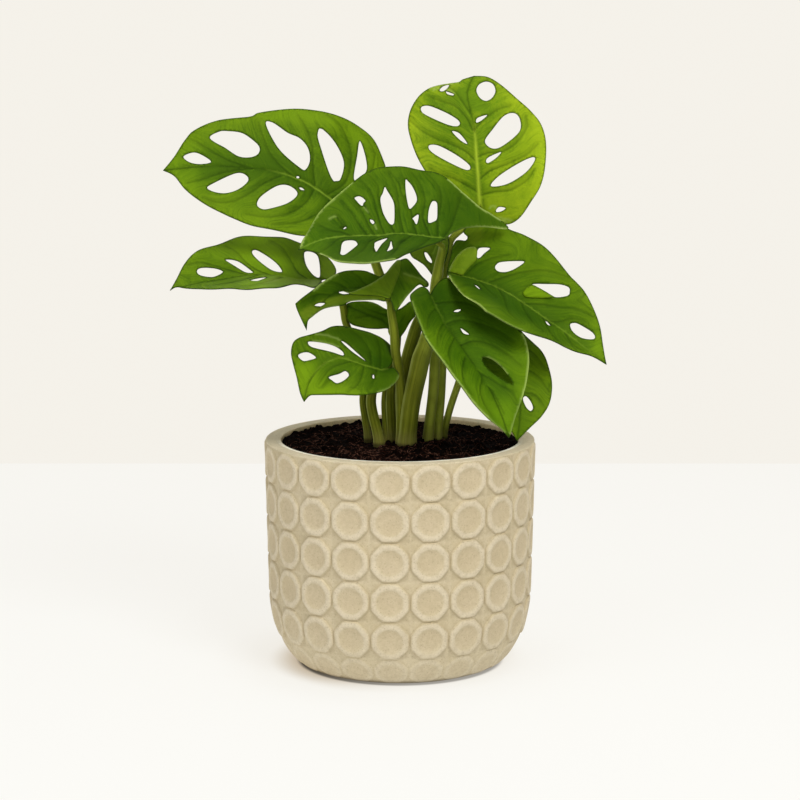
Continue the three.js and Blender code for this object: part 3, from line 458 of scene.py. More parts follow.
class Paint:
    """A material and the nodes that are wired into its Principled shader."""

    def __init__(self, name, **constants):
        self.material = bpy.data.materials.new(name)
        self.material.use_nodes = True
        self.tree = self.material.node_tree
        self.shader = self.tree.nodes["Principled BSDF"]
        for socket, value in constants.items():
            self.shader.inputs[socket.replace("_", " ")].default_value = value

    def node(self, kind, inputs=(), out=0, **settings):
        made = self.tree.nodes.new("ShaderNode" + kind)
        for key, value in settings.items():
            setattr(made, key, value)
        for key, value in dict(inputs).items():
            self.plug(made.inputs[key], value)
        return Wire(self, made.outputs[out])

    def plug(self, socket, value):
        if isinstance(value, Wire):
            self.tree.links.new(value.socket, socket)
        elif isinstance(value, tuple) and len(value) == 3 and socket.type == "RGBA":
            socket.default_value = (*value, 1)
        else:
            socket.default_value = value

    def place(self):
        """Object coordinates, in metres."""
        return self.node("TexCoord", out=3)

    def part(self, vector, axis):
        """One of a vector's three numbers."""
        return self.node("SeparateXYZ", {0: vector}, out=axis)

    def from_middle(self, place):
        """Distance from the pot's upright axis."""
        return self.node("VectorMath", {0: self.scaled(place, 1, 1, 0)}, out=1, operation="LENGTH")

    def attribute(self, name, out=2):
        return self.node("Attribute", out=out, attribute_name=name)

    def attributes(self, names):
        return (self.attribute(name) for name in names.split())

    def noise(self, vector, scale, detail, roughness=0.5):
        inputs = {"Vector": vector, "Scale": scale, "Detail": detail, "Roughness": roughness}
        return self.node("TexNoise", inputs)

    def cells(self, vector, scale):
        return self.node("TexVoronoi", {"Vector": vector, "Scale": scale})

    def scaled(self, vector, x, y, z):
        return self.node("VectorMath", {0: vector, 1: (x, y, z)}, operation="MULTIPLY")

    def blend(self, factor, a, b):
        return self.node("Mix", {0: factor, 6: a, 7: b}, out=2, data_type="RGBA")

    def coats(self, colour, *coats):
        """Each coat's colour over what lies below it, as far as its mask covers."""
        for mask, over in coats:
            colour = self.blend(mask, colour, over)
        return colour

    def bump(self, height, distance, strength):
        return self.node("Bump", {"Height": height, "Distance": distance, "Strength": strength})

    def finish(self, **links):
        for socket, value in links.items():
            self.plug(self.shader.inputs[socket.replace("_", " ")], value)
        return self.material


def times(colour, factor):
    return tuple(factor * part for part in colour)


def leaf_finish(name, dark, middle, light):
    """Upper side of a blade: darker by the midrib and along the veins, yellower towards the rim, with
    painted shade in the furrows, painted highlights along veins, rims and folds, and areas of
    tone mixed with painted light and shade.
    """
    paint = Paint(name, Specular_IOR_Level=0.08, Specular_Tint=LEAF_SHEEN)
    vein, away, tint, rib, spotted, hem, pale = paint.attributes("vein away tint rib olive hem pale")
    grain = paint.attribute("grain", out=1)
    place = paint.place()
    broad = paint.noise(place, 30, 2).between(0.3, 0.7)
    patch = paint.noise(place, 110, 3, 0.6)
    streak = paint.noise(paint.scaled(grain, 0.6, 0.09, 1), 1, 5, 0.75)
    band = paint.noise(paint.scaled(grain, 0.22, 0.03, 1), 1, 3, 0.6)
    mottle = paint.noise(place, 1000, 3, 0.6)
    shine = away ** 1.3 * 0.75 + (broad - 0.5) * 0.3 + (patch - 0.5) * 0.7
    shine = shine + (streak - 0.5) * 1.8 + (band - 0.5) * 0.9 + (mottle - 0.5) * 0.7
    lines = (0.47 - streak).clamped() * 4 + (mottle - 0.55).clamped() * 1.5
    olive = paint.blend((streak * 1.7 - 0.4).clamped(), (0.085, 0.15, 0.006), (0.2, 0.29, 0.015))
    colour = paint.coats(
        paint.blend(shine.clamped(), middle, light),
        # areas of the leaf's own tone mixed with painted light where lighter and painted shade where darker
        ((tint * 0.8).clamped(), times(light, 1.35)),
        ((tint * -0.9).clamped(), dark),
        # a painted highlight along one side of each vein
        ((vein * -1).clamped() * 0.5, times(light, 1.15)),
        # dark veins and streaks; along the veins partly painted shade in the furrows and by the midrib
        ((vein * 0.85 + lines * 0.5).clamped(), times(dark, 0.55)),
        (spotted, olive),
        (rib * 0.85, tuple(1.2 * a + b for a, b in zip(light, (0.05, 0.05, 0.02)))),
        (hem * 0.8, (0.014, 0.036, 0.002)),
        # painted highlights along rims and folds
        (pale * 0.7, (0.34, 0.45, 0.11)),
    )
    height = (mottle - 0.5) * 0.25 + (streak - 0.5)
    return paint.finish(
        Base_Color=colour,
        Roughness=0.5 + (mottle - 0.5) * 0.2 + vein * 0.1,
        Normal=paint.bump(height, 0.00025, 0.5),
    )


def under_finish():
    """Underside of a blade: paler and duller, with its veins a little lighter."""
    paint = Paint("blade_underside", Roughness=0.6, Specular_IOR_Level=0.15, Specular_Tint=LEAF_SHEEN)
    grain = paint.attribute("grain", out=1)
    streak = paint.noise(paint.scaled(grain, 1.5, 0.22, 1), 1, 3, 0.6)
    colour = paint.blend((streak * 0.8 + 0.1).clamped(), (0.08, 0.15, 0.014), (0.15, 0.24, 0.03))
    colour = paint.blend(paint.attribute("vein").clamped() * 0.6, colour, (0.26, 0.34, 0.07))
    return paint.finish(Base_Color=colour, Normal=paint.bump(streak, 0.0002, 0.4))


def edge_finish():
    """The cut edge of a blade, dark round the holes, with painted highlights where they run along the near
    rim.
    """
    paint = Paint("blade_edge", Roughness=0.6, Specular_IOR_Level=0.1)
    colour = paint.blend(paint.attribute("pale"), (0.025, 0.05, 0.006), (0.4, 0.5, 0.14))
    return paint.finish(Base_Color=colour)


def stem_finish():
    """Petioles: olive green with soft lengthwise stripes, browner and duller near the soil, with painted
    shade down one side, a painted highlight along the other edge, and painted light on those to the
    right.
    """
    paint = Paint("petiole_skin", Specular_IOR_Level=0.12, Specular_Tint=LEAF_SHEEN)
    grain = paint.attribute("grain", out=1)
    height = paint.attribute("height")
    side = paint.part(grain, 0)
    stripe = paint.noise(paint.scaled(grain, 2.2, 2.2, 0.012), 1, 3, 0.55).between(0.3, 0.7)
    fine = paint.noise(paint.scaled(grain, 8, 8, 0.04), 1, 2).between(0.35, 0.7)
    blotch = paint.noise(paint.place(), 140, 3).between(0.4, 0.75)
    right = paint.part(paint.place(), 0).between(0.008, 0.016)
    foot = (1 - height.between(110.5, 122)) * (fine * 0.5 + 0.5)
    colour = paint.coats(
        (0.088, 0.108, 0.005),
        (stripe * 0.75 + fine * 0.25, (0.238, 0.262, 0.024)),
        # painted light on the stalks right of the middle, which lie in the shade of the leaves, less higher
        # up
        (right * (0.95 - height.between(150, 190) * 0.7), (0.4, 0.47, 0.055)),
        (height.between(140, 195) * 0.25, (0.28, 0.4, 0.03)),
        # painted shade down one side of each stalk
        (side.between(0.05, 0.95) * 0.6, (0.06, 0.08, 0.004)),
        # a painted highlight along the other edge
        ((side * -1).between(0.65, 0.95) * 0.6, (0.48, 0.54, 0.13)),
        (blotch * 0.3, (0.08, 0.09, 0.008)),
        (foot * 0.75, (0.2, 0.17, 0.055)),
        ((1 - height.between(110.2, 112.2)) * 0.8, (0.03, 0.02, 0.01)),
    )
    return paint.finish(
        Base_Color=colour,
        Roughness=0.5 + stripe * 0.15,
        Normal=paint.bump(stripe + fine * 0.6, 0.0003, 0.7),
    )


def ceramic_finish():
    """Stoneware: cream crests and tan dishes, fine speckle and grain; the crests, dishes and wall carry
    painted light and shade, with a painted highlight on the rim and a painted shadow at the foot.
    """
    paint = Paint("stoneware", Specular_IOR_Level=0.2)
    place = paint.place()
    crest, dish, crease = paint.attributes("crest dish crease")
    cloud = paint.noise(place, 60, 3).between(0.3, 0.7)
    grain = paint.noise(place, 1300, 4, 0.7)
    soft = paint.noise(place, 420, 3, 0.6)
    fleck = 1 - paint.cells(place, 700).between(0.1, 0.3)
    radius = paint.from_middle(place)
    height = paint.part(place, 2)
    inner = (1 - radius.between(0.0592, 0.0602)) * height.between(0.05, 0.06)
    top = height.between(0.112, 0.1128)
    front = 1 - paint.part(place, 1).between(-0.03, 0)
    colour = paint.coats(
        (0.565, 0.48, 0.312),
        (cloud, (0.615, 0.53, 0.362)),
        # paler crests: partly the glaze's own tone, partly painted light
        (crest * 0.75, (0.69, 0.605, 0.45)),
        # darker dishes: partly the glaze's own tone, partly painted shade
        (dish * 0.5, (0.56, 0.457, 0.297)),
        # painted shade in the crease round the foot of each ring
        (crease * 0.4, (0.44, 0.35, 0.2)),
        # painted light low on the wall
        ((1 - height.between(0.004, 0.035)) * 0.5, (0.71, 0.62, 0.43)),
        # the inside above the soil: a warmer own colour, made lighter as painted light against the shade it
        # lies in
        (inner * 0.85, (0.82, 0.64, 0.36)),
        # painted light on the rim's top
        (top * 0.3, (0.72, 0.66, 0.5)),
        # a painted highlight on the inner edge of the rim's top, on the front half only
        ((1 - radius.between(0.0612, 0.062)) * top * front * 0.9, (0.95, 0.93, 0.8)),
        # a painted shadow: the lowest few millimetres near black where the foot meets the floor
        ((1 - height.between(0.001, 0.0038)) * 0.65, (0.05, 0.035, 0.02)),
        ((soft - 0.42).clamped() * 1.3, (0.45, 0.37, 0.23)),
        ((grain - 0.4).clamped() * 0.9, (0.36, 0.29, 0.18)),
        (fleck * grain * 0.6, (0.3, 0.23, 0.14)),
    )
    return paint.finish(
        Base_Color=colour,
        Roughness=0.75 + (grain - 0.5) * 0.3,
        Normal=paint.bump(grain + soft * 0.6 - fleck * 0.5, 0.0003, 0.6),
    )


def soil_finish(name, dark, light):
    """Potting mix: near black with reddish brown bits."""
    paint = Paint(name, Specular_IOR_Level=0.02)
    bits = paint.noise(paint.place(), 700, 4, 0.7)
    return paint.finish(
        Base_Color=paint.blend(bits.between(0.45, 0.72), dark, light),
        Roughness=0.85 + (bits - 0.5) * 0.2,
        Normal=paint.bump(bits, 0.0008, 0.9),
    )


# ---- mesh helpers


def linked(mesh, name, materials):
    """Turns a bmesh into an object of the scene."""
    data = bpy.data.meshes.new(name)
    mesh.to_mesh(data)
    mesh.free()
    for material in materials:
        data.materials.append(material)
    made = bpy.data.objects.new(name, data)
    bpy.context.scene.collection.objects.link(made)
    return made


def finished(mesh, name, materials, replaced=(), smooth=True):
    """Turns a bmesh in millimetres into a piece of the plant or pot."""
    bmesh.ops.scale(mesh, vec=(METRES,) * 3, verts=mesh.verts)
    piece = linked(mesh, name, materials)
    if smooth:
        piece.data.shade_smooth()
    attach(piece, "root")
    if replaced:
        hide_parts(*replaced)
    return piece


def unit(vector):
    return vector / np.linalg.norm(vector)


def held(value):
    """A number kept between 0 and 1."""
    return min(max(value, 0), 1)


def ring_edges(ring):
    """The edges that run between a ring's own vertices."""
    return [edge for edge in {edge for vert in ring for edge in vert.link_edges}
            if all(vert in ring for vert in edge.verts)]


def bridged(mesh, rings):
    """Joins each ring of vertices to the next by a band of faces."""
    loops = [ring_edges(ring) for ring in rings]
    for a, b in zip(loops, loops[1:]):
        bmesh.ops.bridge_loops(mesh, edges=a + b)


def smooth_line(points, step, closed=False):
    """Points about a step apart along a smooth line through the given ones."""
    points = np.asarray(points, float)
    count = len(points)
    line = []
    for i in range(count if closed else count - 1):
        near = [(i + k) % count if closed else min(max(i + k, 0), count - 1) for k in range(-1, 3)]
        a, b, c, d = points[near]
        pieces = max(1, round(np.linalg.norm(c - b) / step))
        t = (np.arange(pieces) / pieces)[:, None]
        line.append(0.5 * (2 * b + (c - a) * t + (2 * a - 5 * b + 4 * c - d) * t**2
                           + (3 * b - 3 * c + d - a) * t**3))
    return np.concatenate(line if closed else [*line, points[-1:]])


def distance_to(points, line, closed=False):
    """Each point's distance to a line of points, where along the line (0 to 1) it is nearest, and
    how far to the line's left it lies."""
    start = line if closed else line[:-1]
    step = (np.roll(line, -1, axis=0) if closed else line[1:]) - start
    from_start = points[:, None, :] - start[None]
    share = np.sum(from_start * step, axis=2) / np.maximum(np.sum(step**2, axis=1), 1e-9)
    share = np.clip(share, 0, 1)
    gap = np.linalg.norm(from_start - share[..., None] * step, axis=2)
    nearest = gap.argmin(axis=1)
    rows = np.arange(len(points))
    aside = from_start[rows, nearest]
    ahead = step[nearest] / np.maximum(np.linalg.norm(step[nearest], axis=1), 1e-9)[:, None]
    left = ahead[:, 0] * aside[:, 1] - ahead[:, 1] * aside[:, 0]
    return gap[rows, nearest], (nearest + share[rows, nearest]) / len(start), left


def inside(points, loop):
    """True for each point inside a closed line."""
    a, b = loop, np.roll(loop, -1, axis=0)
    x, y = points[:, :1], points[:, 1:]
    rise = b[:, 1] - a[:, 1]
    crosses = (a[:, 1] > y) != (b[:, 1] > y)
    at = a[:, 0] + (y - a[:, 1]) * (b[:, 0] - a[:, 0]) / np.where(rise == 0, 1e-9, rise)
    return (crosses & (x < at)).sum(axis=1) % 2 == 1


# ---- lines of sight


def marks(line):
    """The places of a line that is written as across,down pairs."""
    return [tuple(float(number) for number in pair.split(",")) for pair in line.split()]


def sight(mark):
    """Direction of the line of sight through a point of the sheet."""
    up = (SHEET_CENTRE - mark[1]) / EYE_REACH
    return np.array([
        (mark[0] - SHEET_CENTRE) / EYE_REACH,
        math.cos(EYE_PITCH) + up * math.sin(EYE_PITCH),
        up * math.cos(EYE_PITCH) - math.sin(EYE_PITCH),
    ])


def sighted(mark, depth):
    """Where that line reaches the upright plane at a depth."""
    direction = sight(mark)
    return EYE + direction * (depth + EYE_DISTANCE) / direction[1]


class BladeSurface:
    """A leaf's curved surface: u runs from base to tip and v across, in millimetres."""

    def __init__(self, leaf):
        self.leaf = leaf
        self.origin = sighted(leaf["base"], leaf["depth"][0])
        span = sighted(leaf["tip"], leaf["depth"][1]) - self.origin
        self.length = np.linalg.norm(span)
        self.along = unit(span)
        flat = unit(UP - self.along * (UP @ self.along))
        side = np.cross(self.along, flat) * leaf["turn"]
        lean = math.radians(leaf.get("lean", 0))
        self.across = math.cos(lean) * side + math.sin(lean) * flat
        self.up = math.cos(lean) * flat - math.sin(lean) * side
        self.rib = np.array([[0, 0], [self.length, 0]], float)
        ends = self.rib
        for _ in range(3):
            middle = [self.locate(mark) for mark in marks(leaf["rib"])]
            self.rib = smooth_line([ends[0], *middle, ends[1]], 2)

    def rib_at(self, u):
        return np.interp(u, self.rib[:, 0], self.rib[:, 1])

    def height(self, u, v):
        t = u / self.length
        w = v - self.rib_at(u)
        fold = self.leaf["fold"] * (np.hypot(w, BLADE_CREASE) - BLADE_CREASE)
        wave = self.leaf.get("wave", 0) * np.sin(BLADE_WAVES * t) * (v / BLADE_WAVE_SPAN) ** 2
        return self.leaf["arch"] * 4 * t * (1 - t) + fold + wave

    def point(self, u, v, lift):
        u, v = np.asarray(u, float), np.asarray(v, float)
        height = self.height(u, v) + lift
        return (self.origin + u[..., None] * self.along + v[..., None] * self.across
                + height[..., None] * self.up)

    def locate(self, mark):
        """u and v where a line of sight meets the surface, or passes closest to it."""
        direction = sight(mark)
        middle = (self.origin - EYE) @ self.up / (direction @ self.up)

        def probe(reach):
            place = EYE + np.multiply.outer(reach, direction) - self.origin
            u, v = place @ self.along, place @ self.across
            return u, v, place @ self.up - self.height(u, v)

        reach = middle + PROBE_STEP * np.arange(-PROBE_STEPS, PROBE_STEPS + 1)
        u, v, above = probe(reach)
        crossings = np.flatnonzero(above[:-1] * above[1:] <= 0)
        if not len(crossings):
            nearest = np.abs(above).argmin()
            return np.array([u[nearest], v[nearest]])
        first = crossings[np.abs(reach[crossings] - middle).argmin()]
        a, b = reach[first], reach[first + 1]
        start = above[first]
        for _ in range(HALVINGS):
            half = (a + b) / 2
            if probe(half)[2] * start <= 0:
                b = half
            else:
                a = half
        u, v, _ = probe(b)
        return np.array([u, v])


# ---- blades

VEIN_CORE = 0.45  # half width of the dark line, and of the soft dark furrow, partly painted shade, on each side of it
VEIN_SOFT = 1.7
VEIN_HIGHLIGHT = 1.0  # how far below a vein its painted highlight runs, and how wide that is
VEIN_HIGHLIGHT_WIDTH = 0.45
VEIN_STEP = 1.2
FURROW = 0.4
RIB_PALE = (0.36, 0.4, 0.7)  # the midrib's pale line: half width, share of the blade, strength
# width of the painted shadow along the midrib
RIB_SHADE = 1.3
RIB_DEPTH = 0.5
HEM_WIDTH = 0.36
HIGHLIGHT_WIDTH = 0.45
FAINT = 0.5  # strength of the fainter painted highlights
SHADING_SOFT = 5  # how softly an area of tone and painted shading ends, and an olive area
OLIVE_SOFT = 1.2
AREA_STEP = 2
RIPPLE = 0.3  # height, turns along and across, and where across a blade its ripples are full
RIPPLE_TURNS = (0.31, 0.12)
RIPPLE_FULL = 18
FLAP_START = 0.7
FLAP_RISE = 0.22  # how steeply a folded lobe stands off its blade
FLOATS = ("vein", "away", "rib", "hem", "pale", "tint", "olive")


def bell(distance, width):
    return np.exp(-((distance / width) ** 2))


def within(uv, loop, soft):
    """1 well inside a closed line, 0 well outside, smooth across it."""
    signed = distance_to(uv, loop, closed=True)[0] * np.where(inside(uv, loop), 1, -1)
    t = np.clip(signed / soft / 2 + 0.5, 0, 1)
    return t * t * (3 - 2 * t)


class Blade:
    """The marks of one leaf carried on to its surface, and what the finish reads from them."""

    def __init__(self, leaf):
        self.surface = BladeSurface(leaf)
        ends = [leaf["base"], leaf["tip"]]
        self.back, self.front = (
            smooth_line(self.place([ends[0], *marks(leaf[edge]), ends[1]]), BLADE_EDGE)
            for edge in ("back", "front")
        )
        self.outline = np.concatenate([self.back, self.front[-2:0:-1]])
        self.cuts = [self.drawn(line, BLADE_EDGE * size, closed=True)
                     for key, size in (("holes", 1), ("slits", 0.5)) for line in leaf.get(key, ())]
        self.veins, self.lines, self.faint = (
            [self.drawn(line, VEIN_STEP) for line in leaf.get(key, ())]
            for key in ("veins", "lines", "faint")
        )
        self.pale = leaf.get("rib_pale", RIB_PALE)
        self.tints, self.olive = (
            [(amount, self.drawn(line, AREA_STEP, closed=True)) for amount, line in leaf.get(key, ())]
            for key in ("tints", "olive")
        )
        self.flaps = [(self.drawn(rim, BLADE_EDGE), self.drawn(hinge, BLADE_EDGE), shades)
                      for rim, hinge, shades in leaf.get("flaps", ())]

    def place(self, line):
        return [self.surface.locate(mark) for mark in line]

    def drawn(self, line, step, closed=False):
        return smooth_line(self.place(marks(line)), step, closed)

    def finish_at(self, uv, outline, cuts):
        """Shares of vein, rim, and tone with painted light and shade at each point, its grain, and the
        relief.
        """
        surface = self.surface
        rim = distance_to(uv, outline, closed=True)[0]
        cut = np.min([distance_to(uv, loop, closed=True)[0] for loop in cuts] + [rim + 99], axis=0)
        rib, along, _ = distance_to(uv, surface.rib)
        across = uv[:, 1] - surface.rib_at(uv[:, 0])
        side = np.sign(across)
        core, soft, light = np.zeros((3, len(uv)))
        foot, weight = uv[:, 0] * 0.01, np.full(len(uv), 0.01)
        for line in self.veins:
            gap, share, left = distance_to(uv, line)
            middle = line[len(line) // 2]
            turn = np.sign(middle[1] - surface.rib_at(middle[0]))
            same = side == turn
            narrow = VEIN_CORE * (1.2 - 0.5 * share)
            core = np.maximum(core, bell(gap, narrow) * (1 - 0.55 * share) * same)
            soft = np.maximum(soft, bell(gap, VEIN_SOFT) * (1 - 0.5 * share) * same)
            # a painted highlight along one side of each vein
            beside = bell(left * turn - VEIN_HIGHLIGHT, VEIN_HIGHLIGHT_WIDTH) * (gap < 1.6 * VEIN_HIGHLIGHT)
            light = np.maximum(light, beside * (1 - 0.7 * share) * same)
            pull = same / (gap**2 + 2)
            foot += pull * line[0][0]
            weight += pull
        # painted highlights along the drawn lines, weaker along the fainter ones
        pale = np.max([strength * bell(distance_to(uv, line)[0], HIGHLIGHT_WIDTH)
                       for strength, lines in ((1, self.lines), (FAINT, self.faint)) for line in lines]
                      + [np.zeros(len(uv))], axis=0)
        # Tone areas carry the leaf's own tone together with painted light and shade; olive areas carry
        # colour.
        shades = {
            key: sum((amount * within(uv, loop, blur) for amount, loop in loops), np.zeros(len(uv)))
            for key, loops, blur in (("tint", self.tints, SHADING_SOFT), ("olive", self.olive, OLIVE_SOFT))
        }
        width, reach, strength = self.pale
        bare = np.clip((along - reach) * 5, 0, 1)
        # a painted shadow along the midrib, and a dark line where the midrib is not pale
        rib_shadow = 0.6 * bell(rib - width - 0.5, RIB_SHADE) * (1 - along)
        dark = np.maximum(bell(rib, VEIN_CORE) * bare, rib_shadow)
        # vein darkness: the veins' own darker green with painted shade in the furrows and by the midrib
        deep = np.max([0.9 * core, 0.45 * soft, 0.8 * dark], axis=0)
        values = {
            "vein": deep - 0.6 * light * (core < 0.4),
            "away": np.clip(rib / (rib + rim + 3), 0, 1),
            "rib": strength * bell(rib, width * (1.2 - 0.7 * along)) * (1 - bare),
            "hem": bell(np.minimum(cut, rim), HEM_WIDTH) * (1 - pale),
            "pale": pale,
            "tint": shades["tint"],
            "olive": np.clip(shades["olive"], 0, 1),
        }
        grain = np.stack([foot / weight, rib, 5 * side], axis=1)
        relief = -FURROW * soft - RIB_DEPTH * bell(rib, 3 * RIB_PALE[0]) * (1 - along)
        waves = np.sin(uv[:, 0] * RIPPLE_TURNS[0] + across * RIPPLE_TURNS[1])
        relief += RIPPLE * waves * np.clip(np.abs(across) / RIPPLE_FULL, 0, 1)
        return values, grain, relief

    def spread(self, mesh, outline, cuts, flap=None):
        """Fills an outline less its cuts with small triangles that lie on the leaf's surface."""
        low, high = outline.min(axis=0), outline.max(axis=0)
        rows = np.arange(low[0], high[0], BLADE_GRID * math.sin(math.pi / 3))
        u, v = np.meshgrid(rows, np.arange(low[1], high[1], BLADE_GRID), indexing="ij")
        v[1::2] += BLADE_GRID / 2
        free = np.stack([u.ravel(), v.ravel()], axis=1)
        free = free[inside(free, outline)]
        loops = [outline, *cuts]
        lines = [] if flap else [self.surface.rib[::2], *self.veins, *self.lines, *self.faint]
        for loop in loops:
            free = free[distance_to(free, loop, closed=True)[0] > BLADE_GRID * 0.5]
        for line in lines:
            free = free[distance_to(free, line)[0] > BLADE_GRID * 0.45]
        edges = []
        count = 0
        for loop in loops:
            edges += [(count + i, count + (i + 1) % len(loop)) for i in range(len(loop))]
            count += len(loop)
        for line in lines:
            edges += [(count + i, count + i + 1) for i in range(len(line) - 1)]
            count += len(line)
        spots = [Vector(spot) for spot in np.concatenate([*loops, *lines, free])]
        filled = delaunay_2d_cdt(spots, edges, [], 0, 1e-4)
        uv, faces = np.array([tuple(spot) for spot in filled[0]]), np.array(filled[2])
        middles = uv[faces].mean(axis=1)
        kept = inside(middles, outline)
        for loop in cuts:
            kept &= ~inside(middles, loop)
        faces = faces[kept]

        values, grain, relief = self.finish_at(uv, outline, cuts)
        points = self.surface.point(uv[:, 0], uv[:, 1], relief)
        if flap:
            rim, hinge, shades = flap
            lift = FLAP_START + FLAP_RISE * distance_to(uv, hinge)[0]
            towards = EYE - points
            points += towards / np.linalg.norm(towards, axis=1)[:, None] * lift[:, None]
            values["vein"] *= 0
            # a folded lobe's rim: a dark hem, and a painted highlight of the strength its shades give
            values["hem"] = bell(distance_to(uv, rim)[0], HEM_WIDTH) * (1 - shades["pale"])
            values["pale"] = bell(distance_to(uv, rim)[0], HIGHLIGHT_WIDTH) * shades["pale"]
            for key in ("olive", "tint"):
                values[key] = np.full(len(uv), shades[key])
        floats = [(mesh.verts.layers.float.get(key), values[key]) for key in FLOATS]
        vectors = mesh.verts.layers.float_vector.get("grain")
        verts = {}
        for i in np.unique(faces):
            verts[i] = mesh.verts.new(points[i])
            for layer, value in floats:
                verts[i][layer] = float(value[i])
            verts[i][vectors] = grain[i]
        made = [mesh.faces.new([verts[i] for i in face]) for face in faces]
        mesh.normal_update()
        if sum(face.normal.dot(Vector(self.surface.up)) for face in made) < 0:
            bmesh.ops.reverse_faces(mesh, faces=made)

    def piece(self, name, materials):
        mesh = bmesh.new()
        for key in FLOATS:
            mesh.verts.layers.float.new(key)
        mesh.verts.layers.float_vector.new("grain")
        self.spread(mesh, self.outline, self.cuts)
        for flap in self.flaps:
            self.spread(mesh, np.concatenate(flap[:2]), [], flap)
        piece = finished(mesh, "blade_" + name, materials, ["leaf_" + name])
        shell = piece.modifiers.new("thickness", "SOLIDIFY")
        shell.thickness = BLADE_THICKNESS * METRES
        shell.offset = 0
        shell.use_even_offset = False
        shell.material_offset = 1
        shell.material_offset_rim = 2
        return piece


# ---- petioles

TUBE_SIDES = 16
TUBE_STEP = 1.6
FOOT_FLARE = 0.14  # how much wider a petiole is at the soil, and over what height
FOOT_RISE = 4
PETIOLE_RIDGES = 0.025
KEEL = 0.9  # share of the blade that the midrib's keel runs under
KEEL_START = 3  # how far past the joint it is sunk in the blade
KEEL_STOPS = 14
KEEL_THIN = 0.62  # its radius at the start, as a share of the petiole's end, and at its tip
KEEL_TIP = 0.22
KEEL_SUNK = 0.9  # how deep its middle lies: a share of its radius, and a gap below the furrow
KEEL_GAP = 0.25
KEEL_NECK = 5  # how far past the joint it is thin, how far before its end it is thinnest, and how thin
KEEL_FADE = 8
KEEL_LAST = 0.25
SEAT_RUN = 18  # over what length a petiole turns round towards its joint


def flowing(stops, step):
    """Points about a step apart on a smooth curve through the stops, tight at close stops."""
    stops = np.asarray(stops, float)
    padded = np.concatenate([[2 * stops[0] - stops[1]], stops, [2 * stops[-1] - stops[-2]]])
    line = []
    for i in range(1, len(padded) - 2):
        near = padded[i - 1:i + 3]
        gaps = np.linalg.norm(np.diff(near, axis=0), axis=1)
        knots = np.concatenate([[0], np.cumsum(np.sqrt(gaps))])
        pieces = max(1, round(gaps[1] / step))
        t = (knots[1] + (knots[2] - knots[1]) * np.arange(pieces) / pieces)[:, None]

        def mixed(a, b, low, high):
            return (a * (knots[high] - t) + b * (t - knots[low])) / (knots[high] - knots[low])

        a, b, c = (mixed(near[k], near[k + 1], k, k + 1) for k in range(3))
        line.append(mixed(mixed(a, b, 0, 2), mixed(b, c, 1, 3), 1, 2))
    return np.concatenate([*line, stops[-1:]])


def tube(mesh, line, radii, flats, sides=TUBE_SIDES, ridges=0.0):
    """Sweeps an oval section along a line, wider across than front to back by flats."""
    vectors = mesh.verts.layers.float_vector.get("grain") or mesh.verts.layers.float_vector.new("grain")
    heights = mesh.verts.layers.float.get("height") or mesh.verts.layers.float.new("height")
    tangents = np.gradient(line, axis=0)
    facing = np.array([0.0, -1.0, 0.0])
    lengths = np.concatenate([[0], np.cumsum(np.linalg.norm(np.diff(line, axis=0), axis=1))])
    rings = []
    for i, centre in enumerate(line):
        tangent = unit(tangents[i])
        facing = unit(facing - tangent * (facing @ tangent))
        side = np.cross(tangent, facing)
        turn = Matrix((side, facing, tangent)).transposed().to_4x4()
        wide = Matrix.Diagonal((radii[i] * flats[i], radii[i], 1, 1))
        matrix = Matrix.Translation(centre) @ turn @ wide
        cap = i in (0, len(line) - 1)
        ring = bmesh.ops.create_circle(mesh, cap_ends=cap, segments=sides, radius=1, matrix=matrix)["verts"]
        for k, vert in enumerate(ring):
            angle = 2 * math.pi * k / sides
            vert[vectors] = (-math.sin(angle), math.cos(angle), lengths[i])
            if ridges:
                out = vert.co - Vector(centre)
                vert.co += out * ridges * (math.cos(5 * angle + 0.6) + 0.6 * math.cos(3 * angle))
            vert[heights] = vert.co.z
        rings.append(ring)
    bridged(mesh, rings)


